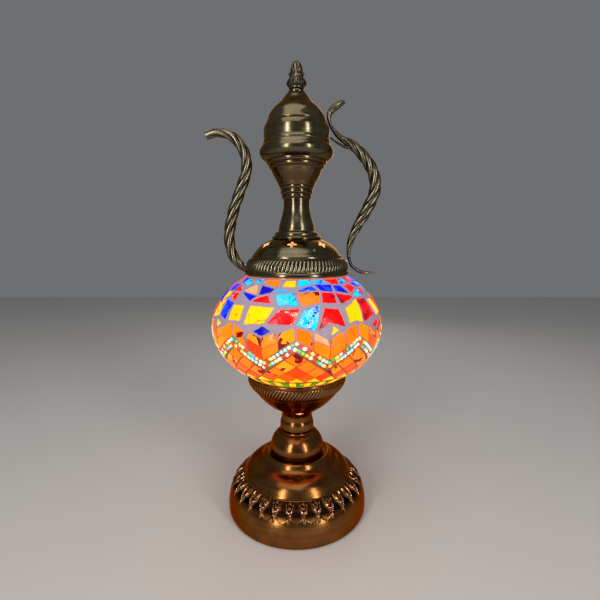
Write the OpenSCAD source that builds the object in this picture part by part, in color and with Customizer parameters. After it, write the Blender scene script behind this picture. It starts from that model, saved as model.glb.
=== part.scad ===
// Mosaic glass table lamp in the form of an ewer: a spun metal foot and cup, a lit mosaic globe,
// and a ewer-shaped top with spout and handle. Origin: centre of the underside. +Z is up, the spout
// points to -X, the handle to +X, and -Y is the front.

/* [Globe] */
// Largest radius of the globe over its tiles
globe_r = 82.8; // [82:0.1:84]
// Half height that the globe would have without its openings
globe_h = 59.7; // [59:0.1:60.5]
// Wall of the blown glass
glass_wall = 2.2; // [1.6:0.1:3]
// Thickness of a glass tile
tile_t = 1; // [0.8:0.1:1.2]
// Gap between tiles
grout_gap = 1.1; // [0.8:0.1:1.8]
// Radius of one seed bead
bead_r = 1.5; // [1:0.1:1.5]

/* [Pattern] */
// Peaks of the zigzag round the globe
sectors = 9; // [7:1:9]
// Stars in the skirt, and as many in the cup
star_count = 7; // [5:1:8]
// How far the corners of the upper tiles wander, as a share of a tile
wander = 0.22; // [0:0.02:0.26]
// Seed of the tile layout
layout_seed = 11; // [1:1:99]
// Embossed leaves round the foot
leaf_count = 30; // [20:1:32]

/* [Foot] */
// Radius of the foot where it is widest
foot_r = 71.3; // [70:0.1:73]
// Sheet thickness of the spun metal
sheet = 1.2; // [1:0.1:1.4]
// Thickness of the felt pad
felt_t = 1.5; // [1:0.5:2]
// Radius of the cord hole through the bushing
cord_hole_r = 3.5; // [3:0.1:3.8]

/* [Rods] */
// Outer radius of the hollow M10 tube up the foot
tube_r = 5; // [4.8:0.1:5]
// Radius of the solid M6 rod up the ewer
rod_r = 3; // [2.8:0.1:3]

/* [Arms] */
// Radius of the twisted spout at its middle
spout_r = 5; // [4:0.1:5.5]
// Radius of the twisted handle at its middle
handle_r = 5.3; // [4:0.1:5.5]

/* [Hidden] */
$fn = 96;

brass = "#8a6233";
dark_brass = "#5f4a30";
steel = "silver";

// Heights, from the floor up
foot_mid_z = 7;
seat_z = 59;
dome_top_z = 83;
cup_foot_z = 94.8;
cup_floor_z = 102.2;
cup_rim_z = 144.4;
globe_z = 193.1;
skirt_rim_z = 242.4;
skirt_top_z = 276.2;
neck_top_z = 325.9;
band_z = 364;
lid_z = 381.7;
lid_top_z = 409;
finial_z = 412.5;
finial_top_z = 437.6;

// Globe shells, from the glass outwards
tile_a = globe_r - tile_t;
tile_b = globe_h - tile_t;
grout_a = tile_a - 0.1;
grout_b = tile_b - 0.1;
grout_t = 0.5;
glass_a = grout_a - grout_t;
glass_b = grout_b - grout_t;
mouth_r = 47.4;
glass_low_z = 140.4;
glass_top_z = 246;

// Mosaic rows, as latitude angles on the globe
zig_mid = -11;
zig_amp = 9.2;
bead_step = 2.2;
band_low = 4.4;
band_mid = 8.7;
band_amp = 4.6;
band_cols = 4;
band_cut = 0.52;
t_top = 53;
t_lattice = -13.5;
lattice_step = -6.9;
diamond_w = 6.2;
diamond_h = 6.5;
t_ring = -43.6;
t_bottom = -50.5;
beads_per_sector = 18;

// Colour letters of the upper tiles, lowest row first; the first column starts at the left side
upper_paint = [
    "ryyybrcryryryrrcybyraryy",
    "byrbcarrcbrcrcbyrcbarcyb",
    "rbrpbcbbbrbcbrcbprbcbrcr",
    "rbccaycccbrbcbrbcyrcbcbc"];
upper_share = [0, 0.4, 0.65, 0.82, 1];

// Holes for the fasteners
tube_hole_r = tube_r + 0.2;
rod_hole_r = rod_r + 0.2;
clip_az = [25, 140, 220];
clip_r = 37.6;
clip_z = 266.1;
clip_tilt = 42;
clip_w = 8;
spout_screw_z = 251;
handle_screw_z = 255;

// ---------- outlines ----------

// Points of an elliptical arc about (r, z), from angle a0 to a1 in n steps
function arc(r, z, semi_r, semi_z, a0, a1, n) =
    [for (i = [0:n]) let (a = a0 + (a1 - a0) * i / n) [r + semi_r * cos(a), z + semi_z * sin(a)]];

function reversed(list) = [for (i = [len(list) - 1:-1:0]) list[i]];

// A spun shell between an outer and an inner outline that both run upwards
module spun(outer, inner) {
    rotate_extrude() polygon(concat(outer, reversed(inner)));
}

// A flat ring from z0 up to z1
module ring(r_in, r_out, z0, z1) {
    translate([0, 0, z0]) difference() {
        cylinder(r = r_out, h = z1 - z0);
        translate([0, 0, -1]) cylinder(r = r_in, h = z1 - z0 + 2);
    }
}

// A hexagonal nut on the lamp's axis
module hex_nut(across, bore_r, z0, z1) {
    translate([0, 0, z0]) difference() {
        cylinder(r = across / sqrt(3), h = z1 - z0, $fn = 6);
        translate([0, 0, -1]) cylinder(r = bore_r, h = z1 - z0 + 2);
    }
}

// Four-petal star used for the pierced holes
module star(size) {
    polygon([for (i = [0:7]) let (r = (i % 2 == 0) ? size / 2 : size / 6.5)
        [r * sin(i * 45), r * cos(i * 45)]]);
}

// Places children on a surface of revolution: azimuth from the front, radius, height, and the
// elevation of the surface's outward normal; the children's +Z becomes that normal
module on_surface(az, r, z, elevation) {
    rotate([0, 0, az]) translate([0, -r, z]) rotate([90 - elevation, 0, 0]) children();
}

module star_cuts(r, z, elevation, size, first_az) {
    for (i = [0:star_count - 1])
        on_surface(first_az + i * 360 / star_count, r, z, elevation)
            translate([0, 0, -4]) linear_extrude(8) star(size);
}

// ---------- foot ----------

module felt_pad() {
    color("darkgreen") cylinder(r = foot_r - 4.4, h = felt_t);
}

module base_plate() {
    color(steel) ring(7, foot_r - 3, felt_t, felt_t + 1);
}

module leaf(length, width) {
    polygon(concat(
        [for (i = [0:8]) [width / 2 * sin(i * 22.5), length * (i / 8 - 0.5)]],
        [for (i = [7:-1:1]) [-width / 2 * sin(i * 22.5), length * (i / 8 - 0.5)]]));
}

module base_shell() {
    rise = 29;
    outer = concat(
        [[foot_r - 1.7, 0.4], [foot_r - 0.4, 2.5]],
        arc(foot_r - 18, foot_mid_z, 18, rise, 0, 63, 10),
        [[55.2, 37], [54.4, 37.5], [55.2, 38.6], [54.4, 39.8]],
        [[52, 43.5], [48, 48], [43, 51], [39, 52.8], [36, 55.2], [33.8, 58.4]],
        [[32.6, 59.9], [31, 60], [30, seat_z], [tube_hole_r, seat_z]]);
    inner = concat(
        [[foot_r - 1.7 - sheet, 0.4], [foot_r - 0.4 - sheet, 2.5]],
        arc(foot_r - 18, foot_mid_z, 18 - sheet, rise - sheet, 0, 63, 10),
        [[53.6, 36.2], [50.8, 42.4], [47, 46.7], [42.4, 49.7], [38.2, 51.6], [35, 54.1]],
        [[32.7, 57.2], [30.5, seat_z - sheet], [tube_hole_r, seat_z - sheet]]);
    color(brass) difference() {
        union() {
            spun(outer, inner);
            for (i = [0:leaf_count - 1])
                on_surface((i + 0.5) * 360 / leaf_count, 58.4, 34.9, 56)
                    translate([0, 0, -0.6]) linear_extrude(1.7) leaf(8, 4.6);
        }
        translate([0, foot_r - 7, 12]) rotate([-90, 0, 0]) cylinder(r = 5, h = 12);
    }
}

module cord_bushing() {
    wall_out = foot_r - 0.1;
    color("#2b2b2b") translate([0, 0, 12]) rotate([-90, 0, 0]) difference() {
        union() {
            translate([0, 0, wall_out - 5.6]) cylinder(r = 6.5, h = 2.2);
            translate([0, 0, wall_out - 5.6]) cylinder(r = 4.9, h = 7);
            translate([0, 0, wall_out + 0.2]) cylinder(r = 6.5, h = 1.6);
        }
        translate([0, 0, wall_out - 7]) cylinder(r = cord_hole_r, h = 11);
    }
}

module base_dome() {
    outer = concat(
        arc(0, 65, 27.3, 22, -15.8, 51.5, 12),
        [[16.6, dome_top_z], [tube_hole_r, dome_top_z]]);
    inner = concat(
        arc(0, 65, 27.3 - sheet, 22 - sheet, -16.8, 51.5, 12),
        [[15.4, dome_top_z - sheet], [tube_hole_r, dome_top_z - sheet]]);
    color(brass) spun(outer, inner);
}

module stem_collar() {
    color(brass) spun(
        [[tube_hole_r, dome_top_z], [15.4, dome_top_z], [15.8, 84.4], [17.1, 85.2], [17.2, 88.6],
            [16.8, 92], [15.9, cup_foot_z], [tube_hole_r, cup_foot_z]],
        []);
}

module globe_cup() {
    bowl_z = 171;
    bowl_c = -21.3;
    bowl_r = 77.7;
    outer = concat(
        [[tube_hole_r, cup_foot_z], [16, cup_foot_z], [15.6, 97], [15.8, 99.5], [16.6, 101.6]],
        arc(bowl_c, bowl_z, bowl_r, bowl_r, -59.6, -33, 10),
        [[44.8, 129.3], [46.8, 132.4], [48.6, 136.2], [49.5, 139.6]],
        [[49.2, 140.6], [50, 141.6], [50, 143.4], [49.3, cup_rim_z]]);
    inner = concat(
        [[tube_hole_r, cup_floor_z], [15.4, cup_floor_z]],
        arc(bowl_c, bowl_z, bowl_r - sheet, bowl_r - sheet, -59, -33, 10),
        [[43.7, 130], [45.7, 133], [47.5, 136.7], [48.4, 140], [48.4, cup_rim_z]]);
    color(brass) difference() {
        spun(outer, inner);
        star_cuts(24.4, 108.9, -38, 6, 6.8);
    }
}

module threaded_tube() {
    color(steel) ring(tube_r - 1.4, tube_r, 44, 113.5);
}

module tube_washers() {
    color(steel) {
        ring(tube_hole_r, 13, seat_z - sheet - 1.6, seat_z - sheet);
        ring(tube_hole_r, 11, cup_floor_z, cup_floor_z + 1.4);
    }
}

module tube_nuts() {
    color(steel) {
        hex_nut(15, tube_hole_r, seat_z - sheet - 7.6, seat_z - sheet - 1.6);
        hex_nut(15, tube_hole_r, cup_floor_z + 1.4, cup_floor_z + 5.8);
    }
}

module lower_seal() {
    color("#333333") ring(44.8, 48, glass_low_z - 1.8, glass_low_z);
}

// ---------- lamp holder and bulb ----------

module lamp_holder() {
    color("#26221f") spun(
        [[tube_hole_r, 108.4], [9, 108.4], [13, 112.5], [14, 117], [14, 139.4], [13.2, 140.4]],
        [[tube_hole_r, 113.8], [12.2, 118], [12.2, 140.4]]);
}

module holder_insert() {
    color("white") ring(7.9, 12, 118.2, 139.6);
}

module holder_thread() {
    color(brass) ring(7.1, 7.7, 121, 142.4);
}

module holder_contact() {
    color("gold") translate([-2.5, -2, 118.3]) difference() {
        cube([9.6, 4, 2.6]);
        translate([2, -1, 0.5]) cube([6, 6, 1.6]);
    }
}

module bulb_cap() {
    color(steel) ring(3, 6.95, 123, 141.4);
}

module bulb_tip() {
    color("#222222") spun([[0, 121.3], [2.2, 121.5], [4.6, 123], [0, 123]], []);
}

module bulb_glass() {
    bulb_r = 22.5;
    bulb_z = 178;
    outer = concat(
        [[8.6, 141.5], [9.2, 146], [10.4, 152], [13, 158]],
        arc(0, bulb_z, bulb_r, bulb_r, -48, 90, 20));
    inner = concat(
        [[7.8, 141.5], [8.4, 146], [9.6, 152], [12.2, 158.4]],
        arc(0, bulb_z, bulb_r - 0.8, bulb_r - 0.8, -48, 90, 20));
    color("ivory") spun(outer, inner);
}

// ---------- globe ----------

module globe_glass() {
    inner_a = glass_a - glass_wall;
    inner_b = glass_b - glass_wall;
    inner_mouth = mouth_r - glass_wall;
    out_t = acos(mouth_r / glass_a);
    in_t = acos(inner_mouth / inner_a);
    color("white", 0.5) spun(
        concat([[mouth_r, glass_low_z]],
            arc(0, globe_z, glass_a, glass_b, -out_t, out_t, 36), [[mouth_r, glass_top_z]]),
        concat([[inner_mouth, glass_low_z]],
            arc(0, globe_z, inner_a, inner_b, -in_t, in_t, 36), [[inner_mouth, glass_top_z]]));
}

module grout_bed() {
    color("#8d8390") spun(
        arc(0, globe_z, grout_a, grout_b, -52.4, 53.4, 36),
        arc(0, globe_z, glass_a + 0.08, glass_b + 0.08, -52.4, 53.4, 36));
}

// Wave of the pattern at azimuth az, from 1 at a peak, as at the front, to -1 at a trough
function wave(az) = let (u = ((az / 360 * sectors) % 1 + 1.5) % 1) 1 - 4 * abs(u - 0.5);

// Latitudes of the zigzag line of beads, and of the top of the amber band over it
function zig(az) = zig_mid + zig_amp * wave(az);
function band_top(az) = band_mid + band_amp * wave(az);

// Point on the shell that carries the tiles
function on_globe(az, t) = [tile_a * cos(t) * sin(az), -tile_a * cos(t) * cos(az),
    globe_z + tile_b * sin(t)];

// Elevation of the globe's normal at latitude t
function normal_el(t) = atan2(sin(t) / tile_b, cos(t) / tile_a);

// A corner given as [az, t], seen in the plane that touches the globe at [az0, t0]
function flat(p, az0, t0) = let (
    d = on_globe(p[0], p[1]) - on_globe(az0, t0),
    el = normal_el(t0),
    out = d[0] * sin(az0) - d[1] * cos(az0))
    [d[0] * cos(az0) + d[1] * sin(az0), -out * sin(el) + d[2] * cos(el)];

function mean(list) = let (n = len(list)) [for (k = [0:1]) [for (p = list) p[k]] * [for (p = list) 1] / n];

// One glass tile whose corners are [az, t] pairs
module tile(corners) {
    c = mean(corners);
    pts = [for (p = corners) flat(p, c[0], c[1])];
    m = mean(pts);
    on_surface(c[0], tile_a * cos(c[1]), globe_z + tile_b * sin(c[1]), normal_el(c[1]))
        linear_extrude(tile_t)
            polygon([for (p = pts) m + (p - m) * (1 - grout_gap * 0.75 / norm(p - m))]);
}

// Corner i of line j of the upper zone, from the zigzag band up to the skirt
function corner(i, j) = let (
    cols = len(upper_paint[0]),
    shift = rands(-wander, wander, 2, layout_seed + 53 * (i % cols) + 997 * j),
    az = (i + shift[0]) * 360 / cols - 90,
    low = band_top(az),
    on_edge = (j == 0 || j == len(upper_paint)),
    share = upper_share[j] + (on_edge ? 0 : shift[1] * 0.25))
    [az, low + (t_top - low) * share];

// The lower edge of an upper tile, with the bend of the zigzag where the tile spans one
function low_edge(a, b) = let (half = 180 / sectors, bend = ceil(a[0] / half) * half)
    (bend > a[0] + 1 && bend < b[0] - 1) ? [a, [bend, band_top(bend)], b] : [a, b];

module upper_tiles(key) {
    for (j = [0:len(upper_paint) - 1], i = [0:len(upper_paint[j]) - 1])
        if (upper_paint[j][i] == key) {
            low = [corner(i, j), corner(i + 1, j)];
            tile(concat(j == 0 ? low_edge(low[0], low[1]) : low, [corner(i + 1, j + 1), corner(i, j + 1)]));
        }
}

// Corner of the amber band at azimuth az, at that share of the way up from the beads
function band_corner(az, share) = let (low = zig(az) + band_low) [az, low + (band_top(az) - low) * share];

// The band of tiles over the beads: one row beside the peaks and two beside the troughs
module band_tiles(key) {
    n = sectors * band_cols;
    step = 360 / n;
    for (i = [0:n - 1]) {
        by_peak = (i % band_cols == 0 || i % band_cols == band_cols - 1);
        cuts = by_peak ? [0, 1] : [0, band_cut, 1];
        for (k = [0:len(cuts) - 2]) {
            paint = (i == 1 && k == 1) ? "p" : ((i * 2 + k) % 7 == 3) ? "f" : "a";
            if (paint == key)
                tile([band_corner(i * step, cuts[k]), band_corner((i + 1) * step, cuts[k]),
                    band_corner((i + 1) * step, cuts[k + 1]), band_corner(i * step, cuts[k + 1])]);
        }
    }
}

// Diamonds that hang below the beads in four rows, with half diamonds under them
module lattice(key) {
    n = sectors * 3;
    step = 360 / n;
    for (j = [0:4], i = [0:n - 1]) {
        az = (i + (j % 2) / 2) * step;
        t = t_lattice + j * lattice_step;
        from_peak = abs(((az / 360 * sectors + 0.5) % 1) - 0.5) * 360 / sectors;
        paint = j == 4 ? "y" : (j == 3 || (j == 2 && i == 0)) ? "f" : "a";
        if (paint == key && from_peak < (j + 0.5) * step / 2)
            tile(concat([[az + diamond_w, t], [az, t + diamond_h], [az - diamond_w, t]],
                j == 4 ? [] : [[az, t - diamond_h]]));
    }
}

// The ring of tiles against the cup, in alternating colours
module ring_tiles(key) {
    n = sectors * 6;
    step = 360 / n;
    for (i = [0:n - 1])
        if ((i % 2 == 0 ? "g" : "y") == key)
            tile([[i * step, t_bottom], [(i + 1) * step, t_bottom],
                [(i + 1) * step, t_ring], [i * step, t_ring]]);
}

module tiles(key, paint) {
    color(paint) {
        upper_tiles(key);
        band_tiles(key);
        lattice(key);
        ring_tiles(key);
    }
}

// Seed beads in two rows along the zigzag; every bead whose place in the cycle is key
module beads(key, paint) {
    cycle = "wrwgwywbwrgyw";
    n = sectors * beads_per_sector;
    color(paint) for (k = [0:n - 1], row = [-1, 1])
        if (cycle[(k + (row > 0 ? 5 : 0)) % len(cycle)] == key) {
            az = (k + 0.25 * row) * 360 / n;
            t = zig(az) + row * bead_step;
            on_surface(az, tile_a * cos(t), globe_z + tile_b * sin(t), normal_el(t))
                cylinder(r = bead_r, h = 1.5, $fn = 24);
        }
}

// ---------- ewer top ----------

module upper_seal() {
    color("#333333") ring(45.4, 48, glass_top_z + 0.1, glass_top_z + 1.8);
}

module top_skirt() {
    dome_c = 14.7;
    dome_z = 245.6;
    dome_r = 31.75;
    outer = concat(
        [[49.6, skirt_rim_z], [50.4, 243.4], [50.4, 245.4], [49.4, 246.4]],
        [[49.3, 248], [48.6, 251.5], [47, 255], [44.8, 258], [43.4, 259], [43.2, 260.6]],
        arc(dome_c, dome_z, dome_r, dome_r, 31.5, 72, 12),
        [[23.8, skirt_top_z], [rod_hole_r, skirt_top_z]]);
    inner = concat(
        [[48.6, skirt_rim_z], [48.6, 247]],
        [[48.2, 250.6], [46.6, 254], [43.9, 257.2], [42.2, 258.4], [41.9, 260.2]],
        arc(dome_c, dome_z, dome_r - 1.05, dome_r - 1.05, 30.5, 72, 12),
        [[23.4, skirt_top_z - 1.1], [rod_hole_r, skirt_top_z - 1.1]]);
    color(dark_brass) difference() {
        spun(outer, inner);
        star_cuts(33, 271.2, 52, 8, -6.8);
        clip_holes(1.4);
        translate([-60, 0, spout_screw_z]) rotate([0, 90, 0]) cylinder(r = 1.8, h = 20);
        translate([40, 0, handle_screw_z]) rotate([0, 90, 0]) cylinder(r = 1.8, h = 20);
    }
}

module clip_holes(r) {
    for (az = clip_az) on_surface(az, clip_r, clip_z, clip_tilt)
        translate([0, 0, -4]) cylinder(r = r, h = 8);
}

module skirt_clips() {
    face = [[34.4, 267.4], [37, 264.8], [39.4, 261], [41.8, 255], [43.6, 248], [44.4, 244], [42.2, 237]];
    back = [for (p = face) p - [0.9, 0.2]];
    color(steel) for (az = clip_az)
        rotate([0, 0, az - 90]) rotate([90, 0, 0])
            linear_extrude(clip_w, center = true) polygon(concat(face, reversed(back)));
}

module clip_screws() {
    color(dark_brass) for (az = clip_az) on_surface(az, clip_r, clip_z, clip_tilt) {
        translate([0, 0, 1.1]) cylinder(r1 = 2.3, r2 = 1.6, h = 1.2);
        translate([0, 0, -3]) cylinder(r = 1.2, h = 4.1);
    }
}

module top_rod() {
    color(steel) translate([0, 0, 264]) cylinder(r = rod_r, h = 424 - 264);
}

module rod_washer() {
    color(steel) ring(rod_hole_r, 10, skirt_top_z - 2.6, skirt_top_z - 1.1);
}

module rod_nut() {
    color(steel) hex_nut(10, rod_hole_r, skirt_top_z - 7.6, skirt_top_z - 2.6);
}

module neck() {
    outer = [[23.5, skirt_top_z], [23.9, 277.4], [23.2, 279], [21.2, 279.6],
        [21, 281.4], [20.2, 282.8], [18.4, 283.4], [17.5, 284.4],
        [17, 288.4], [15.7, 293.5], [14.1, 299], [12.9, 304.4], [12.5, 309], [12.8, 314.4],
        [13.8, 315], [14.3, 316.6], [13.8, 318.4], [14.9, 319.4], [15.3, 321], [14.8, 323],
        [15.8, 324], [16.2, neck_top_z]];
    inner = [[22, skirt_top_z], [21.6, 278.2], [19.4, 279.4], [18.8, 281.6], [16.2, 283.2],
        [15.7, 288], [14.4, 293.2], [12.8, 298.8], [11.6, 304.3], [11.2, 309], [11.5, 314.6],
        [13, 320], [14, neck_top_z]];
    color(dark_brass) spun(outer, inner);
}

module crown() {
    outer = [[16.6, neck_top_z], [17.4, 327.4], [17.8, 328.8], [20.2, 333], [22.9, 338.2],
        [24.6, 342], [25.6, 342.8], [26.3, 344.2], [26.2, 345.6], [27.8, 346.2], [28.5, 347.6],
        [28.6, 349], [31, 350.2], [33.4, 352.3], [34.7, 355], [34.8, 357.4], [33.8, 360],
        [32.2, 362.2], [31.4, band_z]];
    inner = [[14.4, neck_top_z], [16.6, 330], [21.4, 338.6], [24, 344.8], [27.2, 350.2],
        [31.4, 353.4], [33.4, 355.6], [33.5, 357.2], [32.6, 359.4], [30.6, 362], [29.8, band_z]];
    color(dark_brass) spun(outer, inner);
}

module lid_band() {
    color(dark_brass) spun(
        [[30.8, band_z], [31.4, 365.4], [30.8, 366.8], [30.4, 367.6], [30.6, 370], [30.2, 378.6],
            [29.3, 380.6], [28, lid_z]],
        [[29.4, band_z], [29.3, 370], [29, 378.4], [28, 380], [26.8, lid_z]]);
}

module lid_dome() {
    outer = [[27.6, lid_z], [28.1, 382.8], [27.4, 383.9], [27, 385.2], [26.2, 388.2], [24.9, 391],
        [22.6, 394.2], [19.6, 397.2], [16.5, 399.9], [13.5, 403.2], [11, 406.6], [9, lid_top_z],
        [rod_hole_r, lid_top_z]];
    inner = [[26.4, lid_z], [25.8, 385.2], [25, 387.8], [23.8, 390.2], [21.6, 393.3], [18.7, 396.2],
        [15.6, 398.9], [12.6, 402.2], [10.1, 405.6], [8.4, lid_top_z - sheet],
        [rod_hole_r, lid_top_z - sheet]];
    color(dark_brass) spun(outer, inner);
}

module finial_seat() {
    color(dark_brass) spun(
        [[rod_hole_r, lid_top_z], [8.2, lid_top_z], [8.4, 410], [7.2, 410.6], [6.9, 411.6],
            [5.8, finial_z - 0.3], [rod_hole_r, finial_z - 0.3]],
        []);
}

module finial() {
    thread_top = 425;
    color(dark_brass) spun(
        [[rod_r + 0.05, finial_z], [6.4, finial_z], [7, 413.2], [6.7, 414.6], [8.3, 416.2],
            [8.8, 418.4], [8.4, 420.6], [7, 422.2], [7.2, 424.4], [7.5, 426.2], [6.2, 427.6],
            [6, 429.4], [5.2, 431.4], [4.8, 433], [3.6, 435.2], [1.8, 437], [0, finial_top_z]],
        [[rod_r + 0.05, thread_top], [0, thread_top]]);
}

// ---------- spout and handle ----------

// Point of a smooth curve through the list p, at u from 0 to len(p) - 1
function smooth(p, u) = let (
    n = len(p) - 1, i = min(floor(u), n - 1), f = u - i,
    a = p[max(i - 1, 0)], b = p[i], c = p[i + 1], d = p[min(i + 2, n)])
    0.5 * (2 * b + (c - a) * f + (2 * a - 5 * b + 4 * c - d) * f * f
        + (3 * b - a - 3 * c + d) * f * f * f);

// A rod along a path in the plane y = 0; each path point is [x, z, half thickness, half depth]
module rod_along(path, steps, sides) {
    last = len(path) - 1;
    at = [for (k = [0:steps]) smooth(path, last * k / steps)];
    rings = [for (k = [0:steps]) let (
        d = at[min(k + 1, steps)] - at[max(k - 1, 0)],
        l = norm([d[0], d[1]]), nx = d[1] / l, nz = -d[0] / l)
        [for (s = [0:sides - 1]) let (w = at[k][2] * cos(360 * s / sides))
            [at[k][0] + nx * w, at[k][3] * sin(360 * s / sides), at[k][1] + nz * w]]];
    points = [for (r = rings) each r];
    walls = [for (k = [0:steps - 1], s = [0:sides - 1])
        let (e = (s + 1) % sides, here = k * sides, next = here + sides)
        each [[here + s, next + e, here + e], [here + s, next + s, next + e]]];
    ends = [[for (s = [0:sides - 1]) s], [for (s = [sides - 1:-1:0]) steps * sides + s]];
    polyhedron(points, concat(walls, ends), convexity = 6);
}

spout_path = [
    [-85, 372, 2.9, 2.9], [-72, 375, 3.8, 3.8], [-58.5, 370, 4.6, 4.6], [-48.8, 356.5, spout_r, spout_r],
    [-47.6, 340, spout_r, spout_r], [-54, 322, spout_r, spout_r], [-61, 302, spout_r, spout_r],
    [-65.2, 282, spout_r, spout_r], [-64, 266, spout_r, spout_r], [-58.6, 255, 4.9, 4.9],
    [-52.6, 249.6, 4.2, 4.2]];

handle_path = [
    [44.5, 403, 1.6, 2.2], [38, 399, 3.4, 3.6], [31.8, 394, 3.2, 3.6], [29.8, 387, 1.6, 3.6],
    [33.2, 379, 1.3, 3.4], [41, 370.6, 2.6, 3.8], [53.6, 363, 4.4, 4.6], [65, 351.5, handle_r, handle_r],
    [73.6, 337, handle_r, handle_r], [74.6, 321, handle_r, handle_r], [67, 303.6, handle_r, handle_r],
    [58.6, 288.6, 4.2, 4.2], [52.4, 275, 3, 3.4], [50.6, 262, 1.6, 2.8], [52.8, 252.6, 1.4, 2.8],
    [59, 246.6, 1.6, 3.2], [67, 244, 1.8, 3.2], [76, 244.2, 1.2, 1.8]];

tongue_path = [[31.4, 370.6, 0.7, 1.6], [38, 366.2, 0.9, 2.6], [46, 362, 1.2, 3], [53, 362.2, 1.4, 3]];

module spout() {
    color(dark_brass) {
        rod_along(spout_path, 44, 12);
        translate([-53, 0, spout_screw_z]) rotate([0, 90, 0]) cylinder(r = 2.4, h = 53 - 49.45, $fn = 24);
    }
}

module handle() {
    color(dark_brass) {
        rod_along(handle_path, 60, 12);
        rod_along(tongue_path, 8, 12);
        translate([48.1, 0, handle_screw_z]) rotate([0, 90, 0]) cylinder(r = 2, h = 3.75, $fn = 24);
    }
}

module arm_screws() {
    color(steel) {
        translate([-46.8, 0, spout_screw_z]) rotate([0, 90, 0]) cylinder(r = 2.2, h = 1.6);
        translate([-56, 0, spout_screw_z]) rotate([0, 90, 0]) cylinder(r = 1.5, h = 9.4);
        translate([42.1, 0, handle_screw_z]) rotate([0, 90, 0]) cylinder(r = 2.2, h = 1.6);
        translate([43.5, 0, handle_screw_z]) rotate([0, 90, 0]) cylinder(r = 1.5, h = 7.3);
    }
}

// ---------- nodes ----------

felt_pad();
base_plate();
base_shell();
cord_bushing();
base_dome();
stem_collar();
globe_cup();
threaded_tube();
tube_washers();
tube_nuts();
lower_seal();
lamp_holder();
holder_insert();
holder_thread();
holder_contact();
bulb_glass();
bulb_cap();
bulb_tip();
globe_glass();
grout_bed();
tiles("r", "#d81414");  // tiles_red
tiles("b", "#0b1fd0");  // tiles_blue
tiles("c", "#19c7ee");  // tiles_cyan
tiles("y", "#f4cf10");  // tiles_yellow
tiles("a", "#f08a18");  // tiles_amber
tiles("f", "#f0480c");  // tiles_flame
tiles("g", "#2c9a2c");  // tiles_green
tiles("p", "#f6b98a");  // tiles_peach
beads("w", "#f4f0e6");  // beads_white
beads("r", "#c81818");  // beads_red
beads("g", "#1f8f3a");  // beads_green
beads("y", "#f2d21c");  // beads_yellow
beads("b", "#1a3fd0");  // beads_blue
upper_seal();
top_skirt();
skirt_clips();
clip_screws();
top_rod();
rod_washer();
rod_nut();
neck();
crown();
lid_band();
lid_dome();
finial_seat();
spout();
handle();
arm_screws();
finial();
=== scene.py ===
"""Mosaic glass table lamp in the form of an ewer: the looks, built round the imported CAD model.

Shapes are worked out in millimetres and written to the meshes in metres. Azimuth 0 is the front (-Y)
and grows towards +X. A spun outline is a closed loop of (radius, height) pairs: up the outside and
down the inside.
"""
import math
import random

import bpy
import numpy as np
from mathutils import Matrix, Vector


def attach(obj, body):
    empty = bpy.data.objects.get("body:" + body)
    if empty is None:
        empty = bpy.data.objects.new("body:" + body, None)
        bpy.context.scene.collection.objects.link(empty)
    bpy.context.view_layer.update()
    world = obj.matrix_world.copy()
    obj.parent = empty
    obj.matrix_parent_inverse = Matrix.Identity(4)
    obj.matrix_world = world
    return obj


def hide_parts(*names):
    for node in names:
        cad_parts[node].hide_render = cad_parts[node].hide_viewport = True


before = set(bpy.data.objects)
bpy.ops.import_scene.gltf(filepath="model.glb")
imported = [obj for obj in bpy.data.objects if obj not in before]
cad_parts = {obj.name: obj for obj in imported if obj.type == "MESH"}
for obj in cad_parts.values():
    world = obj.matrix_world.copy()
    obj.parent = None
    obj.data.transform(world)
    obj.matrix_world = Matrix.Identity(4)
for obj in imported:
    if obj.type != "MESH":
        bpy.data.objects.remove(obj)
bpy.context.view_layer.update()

MM = 0.001
rng = random.Random(7)


# ---------- camera, lights and floor ----------

# Places and sizes here are in metres, the camera's dip below level in degrees and its lens in
# millimetres. The lights aim at the height LAMP_MIDDLE on the lamp's axis. The floor is a square grid.
CAMERA_AT = (0.0032, -0.38915, 0.27277)
CAMERA_DIP = 8.19
LENS = 23.755
LAMP_MIDDLE = 0.25
WORLD_LIGHT = 0.18
FLOOR_HALF = 1.6
FLOOR_Z = -0.0002
FLOOR_CELLS = 8


def camera():
    data = bpy.data.cameras.new("camera")
    data.sensor_width = 36
    data.lens = LENS
    data.clip_start = 0.01
    cam = bpy.data.objects.new("camera", data)
    cam.location = CAMERA_AT
    cam.rotation_euler = (math.radians(90 - CAMERA_DIP), 0, 0)
    bpy.context.scene.collection.objects.link(cam)
    bpy.context.scene.camera = cam


def soft_box(name, azimuth, distance, height, size, power):
    """A white area light at that azimuth round the lamp, turned towards its middle."""
    data = bpy.data.lights.new(name, "AREA")
    data.shape = "RECTANGLE"
    data.size, data.size_y = size
    data.energy = power
    data.color = (1, 0.97, 0.93)
    light = bpy.data.objects.new(name, data)
    a = math.radians(azimuth)
    light.location = (distance * math.sin(a), -distance * math.cos(a), height)
    aim = Vector((0, 0, LAMP_MIDDLE)) - light.location
    light.rotation_euler = aim.to_track_quat("-Z", "Y").to_euler()
    light.visible_camera = False
    bpy.context.scene.collection.objects.link(light)


def lights():
    world = bpy.data.worlds.new("studio")
    world.use_nodes = True
    background = world.node_tree.nodes["Background"]
    background.inputs["Color"].default_value = (0.86, 0.88, 0.92, 1)
    background.inputs["Strength"].default_value = WORLD_LIGHT
    bpy.context.scene.world = world
    soft_box("strip_left", -30, 0.9, 0.42, (0.12, 0.75), 4.0)
    soft_box("strip_right", 38, 0.9, 0.42, (0.10, 0.75), 3.2)
    soft_box("overhead", -20, 0.5, 1.35, (1.1, 1.1), 6.0)
    soft_box("rim_back", 165, 0.9, 0.6, (0.5, 0.6), 0.8)
    bpy.context.scene.view_settings.view_transform = "Standard"
    bpy.context.scene.view_settings.look = "None"


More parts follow.
